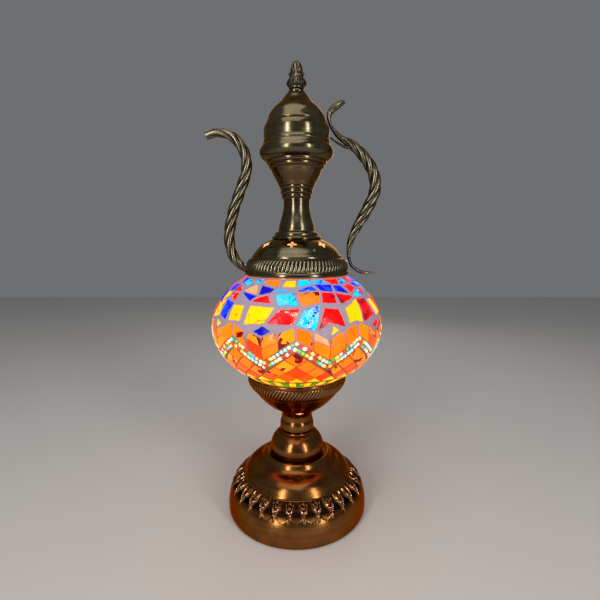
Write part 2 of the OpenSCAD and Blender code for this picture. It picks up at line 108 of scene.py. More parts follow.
def floor():
    line = [FLOOR_HALF * (i / FLOOR_CELLS - 0.5) * 2 for i in range(FLOOR_CELLS + 1)]
    points = [(x, y, FLOOR_Z) for y in line for x in line]
    row = FLOOR_CELLS + 1
    faces = [[j * row + i, j * row + i + 1, (j + 1) * row + i + 1, (j + 1) * row + i]
        for j in range(FLOOR_CELLS) for i in range(FLOOR_CELLS)]
    mesh = bpy.data.meshes.new("floor")
    mesh.from_pydata(points, [], faces)
    s = Shade("floor", Roughness=0.65)
    s.link(s.mix(s.noise(2, 3), (0.60, 0.59, 0.57), (0.66, 0.65, 0.63)), "Base Color")
    mesh.materials.append(s.mat)
    obj = bpy.data.objects.new("floor", mesh)
    bpy.context.scene.collection.objects.link(obj)


# ---------- node helpers ----------

def dim(colour, share):
    """A colour times a number."""
    return tuple(share * channel for channel in colour)


class Shade:
    """A new material with one Principled shader, and short ways to add nodes to it."""

    def __init__(self, name, **sockets):
        self.mat = bpy.data.materials.new(name)
        self.mat.use_nodes = True
        self.tree = self.mat.node_tree
        self.bsdf = self.tree.nodes["Principled BSDF"]
        for key, value in sockets.items():
            self.bsdf.inputs[key.replace("_", " ")].default_value = value
        self.place = self.add("ShaderNodeTexCoord").outputs["Object"]

    def add(self, kind, links=None, **values):
        node = self.tree.nodes.new(kind)
        for key, value in values.items():
            setattr(node, key, value)
        for key, value in (links or {}).items():
            socket = node.inputs[key]
            if isinstance(value, bpy.types.NodeSocket):
                self.tree.links.new(value, socket)
            else:
                socket.default_value = value
        return node

    def link(self, socket, key):
        self.tree.links.new(socket, self.bsdf.inputs[key])

    def math(self, operation, a, b=0.0):
        return self.add("ShaderNodeMath", {0: a, 1: b}, operation=operation).outputs[0]

    def plus(self, a, b, share):
        """a and that share of b."""
        return self.math("ADD", a, self.math("MULTIPLY", b, share))

    def noise(self, scale, detail=2.0, rough=0.5, twist=0.0, place=None):
        return self.add("ShaderNodeTexNoise", {"Vector": place or self.place, "Scale": scale,
            "Detail": detail, "Roughness": rough, "Distortion": twist}).outputs["Fac"]

    def chips(self, scale):
        """A random number in each cell of a broken pattern."""
        cells = self.add("ShaderNodeTexVoronoi", {"Vector": self.place, "Scale": scale}).outputs["Color"]
        return self.add("ShaderNodeSeparateColor", {0: cells}).outputs[0]

    def span(self, value, low, high, to_low=0.0, to_high=1.0):
        return self.add("ShaderNodeMapRange", {"Value": value, "From Min": low, "From Max": high,
            "To Min": to_low, "To Max": to_high}).outputs["Result"]

    def mix(self, share, a, b):
        node = self.add("ShaderNodeMix", data_type="RGBA")
        for key, value in ((0, share), (6, a), (7, b)):
            if isinstance(value, bpy.types.NodeSocket):
                self.tree.links.new(value, node.inputs[key])
            elif key == 0:
                node.inputs[key].default_value = value
            else:
                node.inputs[key].default_value = (*value, 1)
        return node.outputs[2]

    def attribute(self, name):
        return self.add("ShaderNodeAttribute", attribute_name=name).outputs["Fac"]

    def height(self):
        return self.add("ShaderNodeSeparateXYZ", {0: self.place}).outputs["Z"]

    def mottled(self, colour, low, scale, detail=4):
        """Cloudy brightness, between that share of a colour and the whole."""
        return self.mix(self.noise(scale, detail), dim(colour, low), colour)

    def turned(self):
        """(radius, height) as a vector, for marks round the lamp's axis as a lathe leaves them."""
        parts = self.add("ShaderNodeSeparateXYZ", {0: self.place})
        flat = self.add("ShaderNodeCombineXYZ", {0: parts.outputs["X"], 1: parts.outputs["Y"]})
        radius = self.add("ShaderNodeVectorMath", {0: flat.outputs[0]}, operation="LENGTH").outputs["Value"]
        return self.add("ShaderNodeCombineXYZ", {0: radius, 1: parts.outputs["Z"]}).outputs[0]

    def bump(self, height, depth, strength, after=None):
        links = {"Height": height, "Distance": depth, "Strength": strength}
        if after is not None:
            links["Normal"] = after
        return self.add("ShaderNodeBump", links).outputs["Normal"]


# ---------- materials ----------

# Browns of the painted dark reflection in a spun metal's browned band.
REFLECTION_BROWN_DARK, REFLECTION_BROWN_LIGHT = (0.05, 0.019, 0.005), (0.18, 0.082, 0.028)


def spun_metal(name, light, dark, deep, rough=(0.11, 0.23), marks=1.0, cloudy=1.0, browned=None,
        edge=(1.0, 1.0, 1.0)):
    """Antiqued brass with a cloudy patina. The recess attribute is 1 in hollows, which are darkened as
    painted shade, and -1 on edges, which are lightened as painted highlights. marks is how strong the
    lathe's rings are and cloudy how strong the spots are. browned is a (low, high) height in metres
    between which the colour turns a darker brown, as a painted dark reflection. edge tints what the
    metal mirrors at grazing angles."""
    s = Shade(name, Metallic=1.0, Specular_Tint=(*edge, 1.0))
    rings = s.noise(2600, 3, 0.6, place=s.turned())
    wide_rings = s.noise(330, 2, 0.5, place=s.turned())
    cloud = s.noise(42, 5, 0.62, 0.4)
    spots = s.noise(420, 3, 0.7)
    share = s.plus(s.math("MULTIPLY", cloud, 0.7), wide_rings, 0.4)
    share = s.plus(share, rings, 0.12 * marks)
    colour = s.mix(s.span(share, 0.42, 0.8), dark, light)
    colour = s.mix(s.span(spots, 0.62, 0.74, 0.0, 0.45 * cloudy), colour, deep)
    # Painted dark reflection: a darker brown band between the browned heights, where the neck meets the
    # crown.
    if browned:
        low, high = browned
        band = s.math("MINIMUM", s.span(s.height(), low - 0.01, low + 0.02),
            s.span(s.height(), high + 0.01, high - 0.01))
        brown = s.mix(cloud, REFLECTION_BROWN_DARK, REFLECTION_BROWN_LIGHT)
        colour = s.mix(s.math("MULTIPLY", band, 0.75), colour, brown)
    recess = s.attribute("recess")
    # Painted highlight on edges where recess is below 0; painted shade in hollows where it is above 0.
    painted_highlight = tuple(1.3 * channel + 0.09 for channel in light)
    colour = s.mix(s.span(recess, -0.05, -0.8), colour, painted_highlight)
    colour = s.mix(s.span(recess, 0.2, 0.9), colour, deep)
    s.link(colour, "Base Color")
    gloss = s.plus(s.span(cloud, 0.3, 0.7, *rough), rings, 0.07 * marks)
    s.link(s.plus(gloss, recess, 0.25), "Roughness")
    normal = s.bump(rings, 0.00004 * marks, 0.5)
    normal = s.bump(s.noise(900, 3), 0.00004 * cloudy, 0.5, normal)
    s.link(normal, "Normal")
    return s.mat


def lit_inside(name, colour, glow):
    """The lamp-lit inner face of a metal shell."""
    s = Shade(name, Metallic=0.0, Roughness=0.55, Emission_Strength=glow)
    shade = s.mottled(colour, 0.75, 60)
    s.link(shade, "Base Color")
    s.link(shade, "Emission Color")
    s.link(s.bump(s.noise(500, 3), 0.0001, 0.6), "Normal")
    return s.mat


def plain_steel(name, tint=(0.62, 0.63, 0.64), rough=0.23, thread=None):
    """Plated metal with turning marks. thread is the pitch of a screw thread in metres."""
    s = Shade(name, Metallic=1.0)
    grain = s.noise(1500, 3, place=s.turned())
    s.link(s.mottled(tint, 0.7, 90), "Base Color")
    s.link(s.math("ADD", s.math("MULTIPLY", grain, 0.2), rough), "Roughness")
    normal = s.bump(grain, 0.00003, 0.6)
    if thread:
        turns = s.math("SINE", s.math("MULTIPLY", s.height(), 2 * math.pi / thread))
        normal = s.bump(turns, 0.0003, 0.9, normal)
    s.link(normal, "Normal")
    return s.mat


def moulded(name, colour, rough, grain_scale=1800, grain=0.00006):
    """Moulded plastic, rubber or glazed ceramic with a fine surface grain."""
    s = Shade(name)
    s.link(s.mottled(colour, 0.72, 70), "Base Color")
    s.link(s.span(s.noise(260, 3), 0.3, 0.7, rough - 0.07, rough + 0.07), "Roughness")
    s.link(s.bump(s.noise(grain_scale, 3), grain, 0.7), "Normal")
    return s.mat


def felt():
    """Green felt with matted fibres."""
    s = Shade("felt", Roughness=0.95, Sheen_Weight=0.4, Sheen_Roughness=0.5)
    fibres = s.noise(2200, 4, 0.7, 1.5)
    s.link(s.mix(fibres, (0.006, 0.02, 0.012), (0.03, 0.075, 0.04)), "Base Color")
    s.link(s.bump(fibres, 0.0004, 0.9), "Normal")
    return s.mat


def frosted_glass(name, colour, glow):
    """Sand-blasted glass with the lit bulb behind it."""
    s = Shade(name, Roughness=0.45, Coat_Weight=0.4, Coat_Roughness=0.1, Emission_Strength=glow)
    shade = s.mottled(colour, 0.86, 35, 3)
    s.link(shade, "Base Color")
    s.link(shade, "Emission Color")
    s.link(s.bump(s.noise(700, 3), 0.00006, 0.6), "Normal")
    return s.mat


def grout():
    """Gritty plaster: mauve-grey above, and lower down tinted orange as painted light from the lit amber
    tiles. It glows a little as painted light.
    """
    s = Shade("grout", Roughness=0.85, Emission_Strength=0.6)
    grit = s.noise(1300, 4, 0.7)
    grey = s.mix(grit, (0.20, 0.16, 0.20), (0.42, 0.34, 0.42))
    # Painted light: the orange that the lit amber tiles would cast on the plaster.
    painted_amber_glow = s.mix(grit, (0.16, 0.045, 0.012), (0.42, 0.14, 0.035))
    height = s.plus(s.height(), s.noise(45, 2), 0.012)
    colour = s.mix(s.span(height, 0.192, 0.206), painted_amber_glow, grey)
    s.link(colour, "Base Color")
    # Painted glow: the plaster gives off half its colour as light.
    s.link(s.mix(0.5, colour, (0, 0, 0)), "Emission Color")
    s.link(s.bump(grit, 0.0005, 0.8, s.bump(s.noise(260, 3), 0.0006, 0.6)), "Normal")
    return s.mat


GLASS_GLOW = 2.4


def backlit(colour):
    """Scales a colour for the glass's glow, so that only its strongest channel is over-bright."""
    top = max(max(colour), 0.7)
    return tuple(channel if channel == top else channel / GLASS_GLOW for channel in colour)


def tile_glass(name, colour, pale, streak=None, cover=0.0, flecks=0.0, glitter=(1.0, 0.86, 0.62)):
    """Backlit stained glass, between a colour and a paler one. streak is a third colour in wandering
    bands, and cover is how far they gather on the palest tiles. flecks is how dark a crackle of specks
    is. glitter is the colour of the flakes where the sparkle attribute is set."""
    s = Shade(name, Roughness=0.2, Specular_IOR_Level=0.2, Coat_Weight=0.08, Coat_Roughness=0.06,
        Emission_Strength=GLASS_GLOW)
    colour, pale = backlit(colour), backlit(pale)
    tone = s.attribute("tone")
    cloud = s.noise(70, 3, 0.5, 0.6)
    share = s.plus(s.math("MULTIPLY", tone, 0.5), cloud, 0.5)
    shade = s.mix(s.span(share, 0.35, 0.8), colour, pale)
    seeds = s.noise(1500, 2, 0.6)
    shade = s.mix(s.span(seeds, 0.54, 0.7, 0.0, 0.6), shade, dim(colour, 0.3))
    if streak:
        bands = s.noise(58, 2, 0.45, 1.6)
        level = 0.60 + 0.5 * cover
        bands = s.span(s.plus(bands, tone, cover), level, level + 0.02)
        shade = s.mix(bands, shade, backlit(streak))
    if flecks:
        cracks = s.noise(300, 3, 0.6, 1.6)
        marks = s.math("MULTIPLY", s.span(cracks, 0.56, 0.6), s.span(cloud, 0.5, 0.58, 0.0, flecks))
        shade = s.mix(marks, shade, (0.02, 0.016, 0.008))
    flakes = s.math("GREATER_THAN", s.chips(1300), 0.55)
    patch = s.span(s.noise(95, 3, 0.6, 0.8), 0.49, 0.56)
    flakes = s.math("MULTIPLY", s.math("MULTIPLY", flakes, patch), s.attribute("sparkle"))
    shade = s.mix(flakes, shade, dim(glitter, 1 / GLASS_GLOW))
    # Painted shade: the tile's sides and edge are darker by the recess attribute.
    shade = s.mix(s.math("MULTIPLY", s.attribute("recess"), 0.6), shade, dim(colour, 0.1))
    s.link(s.mix(0.9, shade, (0, 0, 0)), "Base Color")
    s.link(shade, "Emission Color")
    ripple = s.bump(s.noise(260, 3, 0.5, 0.5), 0.0005, 0.5)
    s.link(s.bump(s.noise(1400, 2), 0.00012, 0.4, ripple), "Normal")
    return s.mat


def bead_glass(name, colour, pale):
    """Clear seed beads: a bright middle where the lamp shines through and a darker rim."""
    s = Shade(name, Roughness=0.1, Specular_IOR_Level=0.6, Coat_Weight=0.5, Coat_Roughness=0.03,
        Emission_Strength=1.0)
    shade = s.mix(s.attribute("tone"), colour, pale)
    # Pale spots as painted glints.
    painted_glint = tuple(min(1.3 * channel + 0.1, 1) for channel in pale)
    shade = s.mix(s.span(s.noise(900, 2), 0.5, 0.62, 0.0, 0.6), shade, painted_glint)
    # The recess attribute darkens the bead's rim as painted shade.
    shade = s.mix(s.span(s.attribute("recess"), 0.1, 0.9, 0.0, 0.85), shade, dim(colour, 0.25))
    s.link(s.mix(0.6, shade, (0, 0, 0)), "Base Color")
    s.link(shade, "Emission Color")
    return s.mat


# ---------- mesh helpers ----------

# Edges that turn by more than these degrees look sharp; the second is for the twisted arms.
SHARP, SHARP_ARM = 38, 50

def set_attribute(mesh, name, values):
    mesh.attributes.new(name, "FLOAT", "POINT").data.foreach_set("value", np.asarray(values, np.float32))


def strip(low, high, count):
    """Quads between the ring of points that starts at index low and the one that starts at high."""
    return [[low + j, low + (j + 1) % count, high + (j + 1) % count, high + j] for j in range(count)]


def fan(ring, count, tip):
    """Triangles from the ring of points that starts at index ring to one point."""
    return [[ring + j, ring + (j + 1) % count, tip] for j in range(count)]


def piece(name, points, faces, materials, body, replaces, slot, face_slots=None, sharp=SHARP, **attributes):
    """A mesh object made from points in millimetres. It rides on a CAD body and stands for the CAD
    nodes that it replaces; face_slots holds each face's index in materials."""
    mesh = bpy.data.meshes.new(name)
    mesh.from_pydata((np.asarray(points, float) * MM).tolist(), [], faces)
    for material in materials:
        mesh.materials.append(material)
    if face_slots is not None:
        mesh.polygons.foreach_set("material_index", np.asarray(face_slots, np.int32))
    for key, values in attributes.items():
        set_attribute(mesh, key, values)
    mesh.validate()
    mesh.shade_smooth()
    mesh.set_sharp_from_angle(angle=math.radians(sharp))
    obj = bpy.data.objects.new(name, mesh)
    bpy.context.scene.collection.objects.link(obj)
    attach(obj, body)
    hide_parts(*replaces)
    return obj


def arc(r, z, semi_r, semi_z, a0, a1, n):
    """Points of an elliptical arc about (r, z)."""
    angles = [math.radians(a0 + (a1 - a0) * i / n) for i in range(n + 1)]
    return [(r + semi_r * math.cos(a), z + semi_z * math.sin(a)) for a in angles]


def soften(outline, closed, step=1.2, sharp_turn=34, round_off=0.25, fine=None):
    """Runs a smooth curve through an outline and rounds its sharp corners. Returns the new points and,
    for each, the index of the outline's point before it. fine is (low radius, high radius, low z,
    high z, step) of a stretch that gets closer points."""
    p = [Vector(q) for q in outline]
    n = len(p)
    knots = []
    for i in range(n):
        if not closed and i in (0, n - 1):
            d = (p[1] - p[0] if i == 0 else p[-1] - p[-2]).normalized()
            knots.append((p[i], d, d, i))
            continue
        back, ahead = p[i] - p[i - 1], p[(i + 1) % n] - p[i]
        lb, la = back.length, ahead.length
        back, ahead = back.normalized(), ahead.normalized()
        if math.degrees(back.angle(ahead)) > sharp_turn:
            cut = min(round_off, 0.4 * lb, 0.4 * la)
            knots.append((p[i] - back * cut, back, back, i - 1))
            knots.append((p[i] + ahead * cut, ahead, ahead, i))
        else:
            d = (back * la + ahead * lb).normalized()
            knots.append((p[i], d, d, i))
    rows, source = [], []
    count = len(knots)
    for k in range(count if closed else count - 1):
        (a, _, da, i), (b, db, _, _) = knots[k], knots[(k + 1) % count]
        chord = b - a
        size = chord.length
        if size < 1e-6:
            continue
        bend = max(da.angle(chord), db.angle(chord))
        parts = 1 if bend < 0.01 else max(2, min(10, math.ceil(size / step)))
        mid = (a + b) / 2
        if fine and fine[0] < mid.x < fine[1] and fine[2] < mid.y < fine[3]:
            parts = max(parts, math.ceil(size / fine[4]))
        for j in range(parts):
            t = j / parts
            h00, h10 = 2 * t**3 - 3 * t**2 + 1, t**3 - 2 * t**2 + t
            h01, h11 = -2 * t**3 + 3 * t**2, t**3 - t**2
            rows.append(a * h00 + da * (size * h10) + b * h01 + db * (size * h11))
            source.append(i)
    if not closed:
        rows.append(p[-1])
        source.append(n - 2)
    return np.array([[q.x, q.y] for q in rows]), np.array(source)


# The arguments of soften() that lathe() passes on.
SOFTEN_OPTIONS = ("step", "sharp_turn", "fine", "round_off")


def lathe(name, outer, inner, materials, body, segments=192, push=None, closed=True, **more):
    """A spun shell: up the outer outline, down the inner one. push(r, z, azimuth) returns how far to
    move the surface outwards in millimetres and how much of it is recessed; it acts on the outer side
    only. The inner side takes the second material where there is one, and the rims keep the first."""
    options = {key: more.pop(key) for key in SOFTEN_OPTIONS if key in more}
    rows, source = soften(outer + inner[::-1], closed, **options)
    ahead = np.roll(rows, -1, 0) - np.roll(rows, 1, 0)
    if not closed:
        ahead[0], ahead[-1] = rows[1] - rows[0], rows[-1] - rows[-2]
    ahead /= np.maximum(np.linalg.norm(ahead, axis=1, keepdims=True), 1e-9)
    az = np.arange(segments) * 2 * math.pi / segments
    r = np.repeat(rows[:, :1], segments, 1)
    z = np.repeat(rows[:, 1:], segments, 1)
    recess = np.zeros_like(r)
    is_outer = source < len(outer) - 1
    last_inner = len(outer) + len(inner) - 1
    if push:
        out, recess = push(r, z, np.repeat(az[None, :], len(rows), 0))
        out = out * is_outer[:, None]
        r = r + ahead[:, 1:] * out
        z = z - ahead[:, :1] * out
    # Hollow bends of the outline are darkened as painted shade, and its outward bends are lightened
    # as painted highlights.
    steps = rows - np.roll(rows, 1, 0)
    steps /= np.maximum(np.linalg.norm(steps, axis=1, keepdims=True), 1e-9)
    leaving = np.roll(steps, -1, 0)
    bend = steps[:, 1] * leaving[:, 0] - steps[:, 0] * leaving[:, 1]
    groove = np.clip(bend * 1.6 - 0.15, 0, 0.95) - 0.5 * np.clip(-bend * 1.2 - 0.15, 0, 1)
    groove = groove[:, None]
    recess = np.where(np.abs(recess) > np.abs(groove), recess, groove) * is_outer[:, None]
    points = np.stack([r * np.sin(az), -r * np.cos(az), z], 2)
    pole = rows[:, 0] < 1e-3
    start, flat, marks = [], [], []
    for k in range(len(rows)):
        start.append(len(flat))
        keep = points[k][:1] if pole[k] else points[k]
        flat.extend(keep.tolist())
        marks.extend(recess[k][:len(keep)].tolist())
    faces, face_slots = [], []
    for k in range(len(rows) if closed else len(rows) - 1):
        e = (k + 1) % len(rows)
        for j in range(segments):
            i = (j + 1) % segments
            a, b = start[k] + (0 if pole[k] else j), start[k] + (0 if pole[k] else i)
            c, d = start[e] + (0 if pole[e] else i), start[e] + (0 if pole[e] else j)
            face = [v for n, v in enumerate((a, b, c, d)) if v not in (a, b, c, d)[:n]]
            if len(face) > 2:
                faces.append(face)
                face_slots.append(int(len(materials) > 1 and len(outer) <= source[k] < last_inner))
    return piece(name, flat, faces, materials, body, face_slots=face_slots, recess=marks, **more)


def pierce(obj, cutter_points, cutter_faces):
    """Cuts closed prisms out of a piece. The walls of the holes take the lit inner material."""
    mesh = bpy.data.meshes.new("cutter")
    mesh.from_pydata((np.asarray(cutter_points) * MM).tolist(), [], cutter_faces)
    for material in obj.data.materials:
        mesh.materials.append(material)
    mesh.polygons.foreach_set("material_index", [1] * len(mesh.polygons))
    cutter = bpy.data.objects.new("cutter", mesh)
    bpy.context.scene.collection.objects.link(cutter)
    cut = obj.modifiers.new("stars", "BOOLEAN")
    cut.operation = "DIFFERENCE"
    cut.solver = "EXACT"
    cut.object = cutter
    bpy.context.view_layer.update()
    graph = bpy.context.evaluated_depsgraph_get()
    result = bpy.data.meshes.new_from_object(obj.evaluated_get(graph), depsgraph=graph)
    obj.modifiers.clear()
    obj.data = result
    result.shade_smooth()
    result.set_sharp_from_angle(angle=math.radians(SHARP))
    bpy.data.objects.remove(cutter)


STARS = 7
STAR_SIDES = 32
STAR_REACH = 4


def star_prisms(r, z, elevation, size, first_az):
    """A ring of four-petal stars, as prisms along the surface's normal, which rises by elevation."""
    points, faces = [], []
    tilt = math.radians(elevation)
    for k in range(STARS):
        az = math.radians(first_az + k * 360 / STARS)
        out = np.array([math.sin(az) * math.cos(tilt), -math.cos(az) * math.cos(tilt), math.sin(tilt)])
        side = np.array([math.cos(az), math.sin(az), 0])
        up = np.cross(side, -out)
        centre = np.array([r * math.sin(az), -r * math.cos(az), z])
        first = len(points)
        for depth in (-STAR_REACH, STAR_REACH):
            for i in range(STAR_SIDES):
                a = 2 * math.pi * i / STAR_SIDES
                petal = size * (0.19 + 0.31 * abs(math.cos(2 * a)) ** 1.7)
                points.append(centre + out * depth - side * petal * math.sin(a) + up * petal * math.cos(a))
        top = first + STAR_SIDES
        faces.append(list(range(first, top))[::-1])
        faces.append(list(range(top, top + STAR_SIDES)))
        faces += strip(first, top, STAR_SIDES)
    return points, faces


SPLINE_PARTS = 24


def smooth_path(points, count):
    """A Catmull-Rom curve through rows of numbers, as count rows evenly spaced along the first two
    columns. Returns them and each one's distance from the start."""
    p = np.array(points, float)
    dense = []
    for i in range(len(p) - 1):
        a, b, c, d = p[max(i - 1, 0)], p[i], p[i + 1], p[min(i + 2, len(p) - 1)]
        for f in np.arange(SPLINE_PARTS) / SPLINE_PARTS:
            dense.append(0.5 * (2 * b + (c - a) * f + (2 * a - 5 * b + 4 * c - d) * f * f
                + (3 * b - a - 3 * c + d) * f**3))
    dense.append(p[-1])
    dense = np.array(dense)
    length = np.concatenate([[0], np.cumsum(np.linalg.norm(np.diff(dense[:, :2], axis=0), axis=1))])
    at = np.linspace(0, length[-1], count)
    return np.stack([np.interp(at, length, dense[:, k]) for k in range(p.shape[1])], 1), at


# ---------- foot ----------

LEAVES = 30


def embossed_leaves(r, z, az):
    """Leaves round the shoulder of the foot: a rimmed tongue with a seed in it, two veins that meet in a
    stem below it, and deep hollows between the leaves. The hollows and the tongue's inside are darkened
    as painted shade; the rims, veins and seed are lightened as painted highlights."""
    period = 2 * math.pi / LEAVES
    width = period * r
    u = np.abs(((az / period) % 1 - 0.5) * width)
    s = np.where(r < 61.5, (r - 55.2) * 1.2, 7.5 + 1.28 * (32.84 - z))
    on_band = (z > 17) & (s > 0.2) & (s < 20)
    tongue = np.hypot(u / 3.1, np.maximum(s - 3.0, 0) / 6.8)
    rim = np.exp(-((tongue - 1) / 0.14) ** 2) * (s < 11)
    inside = (tongue < 0.86) * 1.0
    seed = np.exp(-((np.hypot(u / 1.35, (s - 4.0) / 2.5) - 1) / 0.3) ** 2) * inside
    fork = 3.4 * np.clip((14.0 - s) / 6.0, 0, 1)
    vein = np.exp(-((u - fork) / 0.42) ** 2) * np.clip(s - 7.2, 0, 1) * np.clip((19.8 - s) / 3, 0, 1)
    edge = np.where(s < 8, 3.4, fork) + 0.3
    room = (width / 2 - edge) * np.sqrt(np.clip(1 - (np.maximum(s - 10, 0) / 8.5) ** 2, 0, 1))
    hollow = np.clip((room - (width / 2 - u)) / 1.1, 0, 1) * np.clip((18.5 - s) / 6, 0.2, 1)
    lines = (0.5 + 0.5 * np.cos(u * 2 * math.pi / 1.15)) * (s < 8)
    push = 0.95 * rim + 0.5 * seed - 0.5 * inside + 0.85 * vein - 0.9 * hollow + 0.3 * lines * hollow
    # Painted shade in the hollows and the tongue; painted highlights on the rims, veins and seed.
    recess = hollow * (0.98 - 0.3 * lines) + inside * (0.95 - 1.3 * seed)
    recess = np.where(rim + vein > 0.5, -0.8, recess)
    return push * on_band, recess * on_band


def foot(metal, inside):
    outer = [(69.6, 0.4), (70.9, 2.5)] + arc(53.3, 7, 18, 29, 0, 63, 12) + [
        (55.2, 37), (54.4, 37.5), (55.2, 38.6), (54.4, 39.8), (52, 43.5), (48, 48), (43, 51), (39, 52.8),
        (36, 55.2), (33.8, 58.4), (32.6, 59.9), (31, 60), (30, 59), (5.2, 59)]
    inner = [(68.4, 0.4), (69.7, 2.5)] + arc(53.3, 7, 16.8, 27.8, 0, 63, 8) + [
        (53.6, 36.2), (50.8, 42.4), (47, 46.7), (42.4, 49.7), (38.2, 51.6), (35, 54.1),
        (32.7, 57.2), (30.5, 57.8), (5.2, 57.8)]
    lathe("foot_shell", outer, inner, [metal, inside], "root", LEAVES * 26, embossed_leaves,
        fine=(55.0, 70.6, 17, 37.2, 0.42), replaces=["base_shell"], slot="copper_brass")
    outer = arc(0, 65, 27.3, 22, -15.8, 51.5, 12) + [(16.6, 83), (5.2, 83)]
    inner = arc(0, 65, 26.1, 20.8, -16.8, 51.5, 12) + [(15.4, 81.8), (5.2, 81.8)]
    lathe("foot_dome", outer, inner, [metal, inside], "root", replaces=["base_dome"], slot="copper_brass")
    outer = [(15.2, 83.05), (15.7, 83.6), (15.8, 84.4), (17.1, 85.2), (17.2, 88.6), (16.8, 92),
        (15.9, 94.75)]
    inner = [(5.2, 83.05), (5.2, 94.75)]
    lathe("collar", outer, inner, [metal], "root", replaces=["stem_collar"], slot="copper_brass")


def rope(count, low, high, lean, lift):
    """Slanted ribs between two heights of a spun outline, with a sharp groove between them that is
    darkened as painted shade, and painted highlights on the ribs' tops. lean is how many ribs each one
    leans over by, and lift its height in millimetres."""
    def push(r, z, az):
        s = (z - low) / (high - low)
        on_band = (s > 0) & (s < 1)
        turn = (az * count / (2 * math.pi) + lean * s) % 1
        rib = np.abs(np.sin(math.pi * turn)) ** 0.8
        swell = np.sin(math.pi * np.clip(s, 0, 1)) ** 0.5
        # Painted shade in the grooves, less a painted highlight on the ribs' tops.
        painted_shade_and_highlight = np.clip(1.25 - 1.7 * rib, 0, 1) - 0.7 * np.clip(3 * rib - 2, 0, 1) * swell
        return on_band * (swell * (lift * rib) - 0.2), on_band * painted_shade_and_highlight
    return push


CUP_RIBS, SKIRT_RIBS = 90, 84


def cup(metal, inside):
    outer = [(5.2, 94.8), (16, 94.8), (15.6, 97), (15.8, 99.5), (16.6, 101.6)]
    outer += arc(-21.3, 171, 77.7, 77.7, -59.6, -33, 10) + [
        (44.8, 129.3), (46.8, 132.4), (48.6, 136.2), (49.5, 139.6), (49.2, 140.6), (50, 141.6), (50, 143.4),
        (49.3, 144.4)]
    inner = [(5.2, 102.2), (15.4, 102.2)] + arc(-21.3, 171, 76.5, 76.5, -59, -33, 10) + [
        (43.7, 130), (45.7, 133), (47.5, 136.7), (48.4, 140), (48.4, 144.4)]
    ribs = rope(CUP_RIBS, 129.6, 139.9, -1.8, 0.8)
    bowl = lathe("cup", outer, inner, [metal, inside], "root", CUP_RIBS * 8, ribs,
        fine=(44, 51, 129, 141, 0.5), sharp_turn=30, replaces=["globe_cup"], slot="copper_brass")
    pierce(bowl, *star_prisms(24.4, 108.9, -38, 7.6, 6.8))


# ---------- ewer top ----------

def ewer(metal, inside):
    outer = [(49.6, 242.4), (50.4, 243.4), (50.4, 245.4), (49.4, 246.4), (49.3, 248), (48.6, 251.5),
        (47, 255), (44.8, 258), (43.4, 259), (43.2, 260.6)]
    outer += arc(14.7, 245.6, 31.75, 31.75, 31.5, 72, 12) + [(23.8, 276.15), (3.2, 276.15)]
    inner = [(48.6, 242.4), (48.6, 247), (48.2, 250.6), (46.6, 254), (43.9, 257.2), (42.2, 258.4),
        (41.9, 260.2)] + arc(14.7, 245.6, 30.7, 30.7, 30.5, 72, 12) + [(23.4, 275.1), (3.2, 275.1)]
    ribs = rope(SKIRT_RIBS, 247.2, 257.9, -0.75, 1.1)
    skirt = lathe("skirt", outer, inner, [metal, inside], "top", SKIRT_RIBS * 8, ribs,
        fine=(43.5, 50.5, 246.5, 258.2, 0.5), replaces=["top_skirt"], slot="dark_brass")
    pierce(skirt, *star_prisms(33, 271.2, 52, 8.8, -6.8))
    outer = [(23.5, 276.2), (23.9, 277.4), (23.2, 279), (21.2, 279.6), (21, 281.4), (20.2, 282.8),
        (18.4, 283.4), (17.5, 284.4), (17, 288.4), (15.7, 293.5), (14.1, 299), (12.9, 304.4), (12.5, 309),
        (12.8, 314.4), (13.8, 315), (14.3, 316.6), (13.8, 318.4), (14.9, 319.4), (15.3, 321), (14.8, 323),
        (15.8, 324), (16.2, 325.85)]
    inner = [(22, 276.2), (21.6, 278.2), (19.4, 279.4), (18.8, 281.6), (16.2, 283.2), (15.7, 288),
        (14.4, 293.2), (12.8, 298.8), (11.6, 304.3), (11.2, 309), (11.5, 314.6), (13, 320), (14, 325.85)]
    shells = [("neck_shell", "neck", outer, inner)]
    outer = [(16.6, 325.9), (17.4, 327.4), (17.8, 328.8), (20.2, 333), (22.9, 338.2), (24.6, 342),
        (25.6, 342.8), (26.3, 344.2), (26.2, 345.6), (27.8, 346.2), (28.5, 347.6), (28.6, 349), (31, 350.2),
        (33.4, 352.3), (34.7, 355), (34.8, 357.4), (33.8, 360), (32.2, 362.2), (31.4, 363.95)]
    inner = [(14.4, 325.9), (16.6, 330), (21.4, 338.6), (24, 344.8), (27.2, 350.2), (31.4, 353.4),
        (33.4, 355.6), (33.5, 357.2), (32.6, 359.4), (30.6, 362), (29.8, 363.95)]
    shells.append(("crown_shell", "crown", outer, inner))
    outer = [(30.8, 364), (31.4, 365.4), (30.8, 366.8), (30.4, 367.6), (30.6, 370), (30.2, 378.6),
        (29.3, 380.6), (28, 381.65)]
    inner = [(29.4, 364), (29.3, 370), (29, 378.4), (28, 380), (26.8, 381.65)]
    shells.append(("lid_ring", "lid_band", outer, inner))
    outer = [(27.6, 381.7), (28.1, 382.8), (27.4, 383.9), (27, 385.2), (26.2, 388.2), (24.9, 391),
        (22.6, 394.2), (19.6, 397.2), (16.5, 399.9), (13.5, 403.2), (11, 406.6), (9, 408.95), (3.2, 408.95)]
    inner = [(26.4, 381.7), (25.8, 385.2), (25, 387.8), (23.8, 390.2), (21.6, 393.3), (18.7, 396.2),
        (15.6, 398.9), (12.6, 402.2), (10.1, 405.6), (8.4, 407.8), (3.2, 407.8)]
    shells.append(("lid_cap", "lid_dome", outer, inner))
    for name, node, outer, inner in shells:
        lathe(name, outer, inner, [metal], "top", replaces=[node], slot="dark_brass")
    outer = [(8.2, 409), (8.4, 410), (7.2, 410.6), (6.9, 411.6), (5.8, 412.2)]
    lathe("lid_seat", outer, [(3.2, 409), (3.2, 412.2)], [metal], "top", 96, round_off=0.15,
        replaces=["finial_seat"], slot="dark_brass")


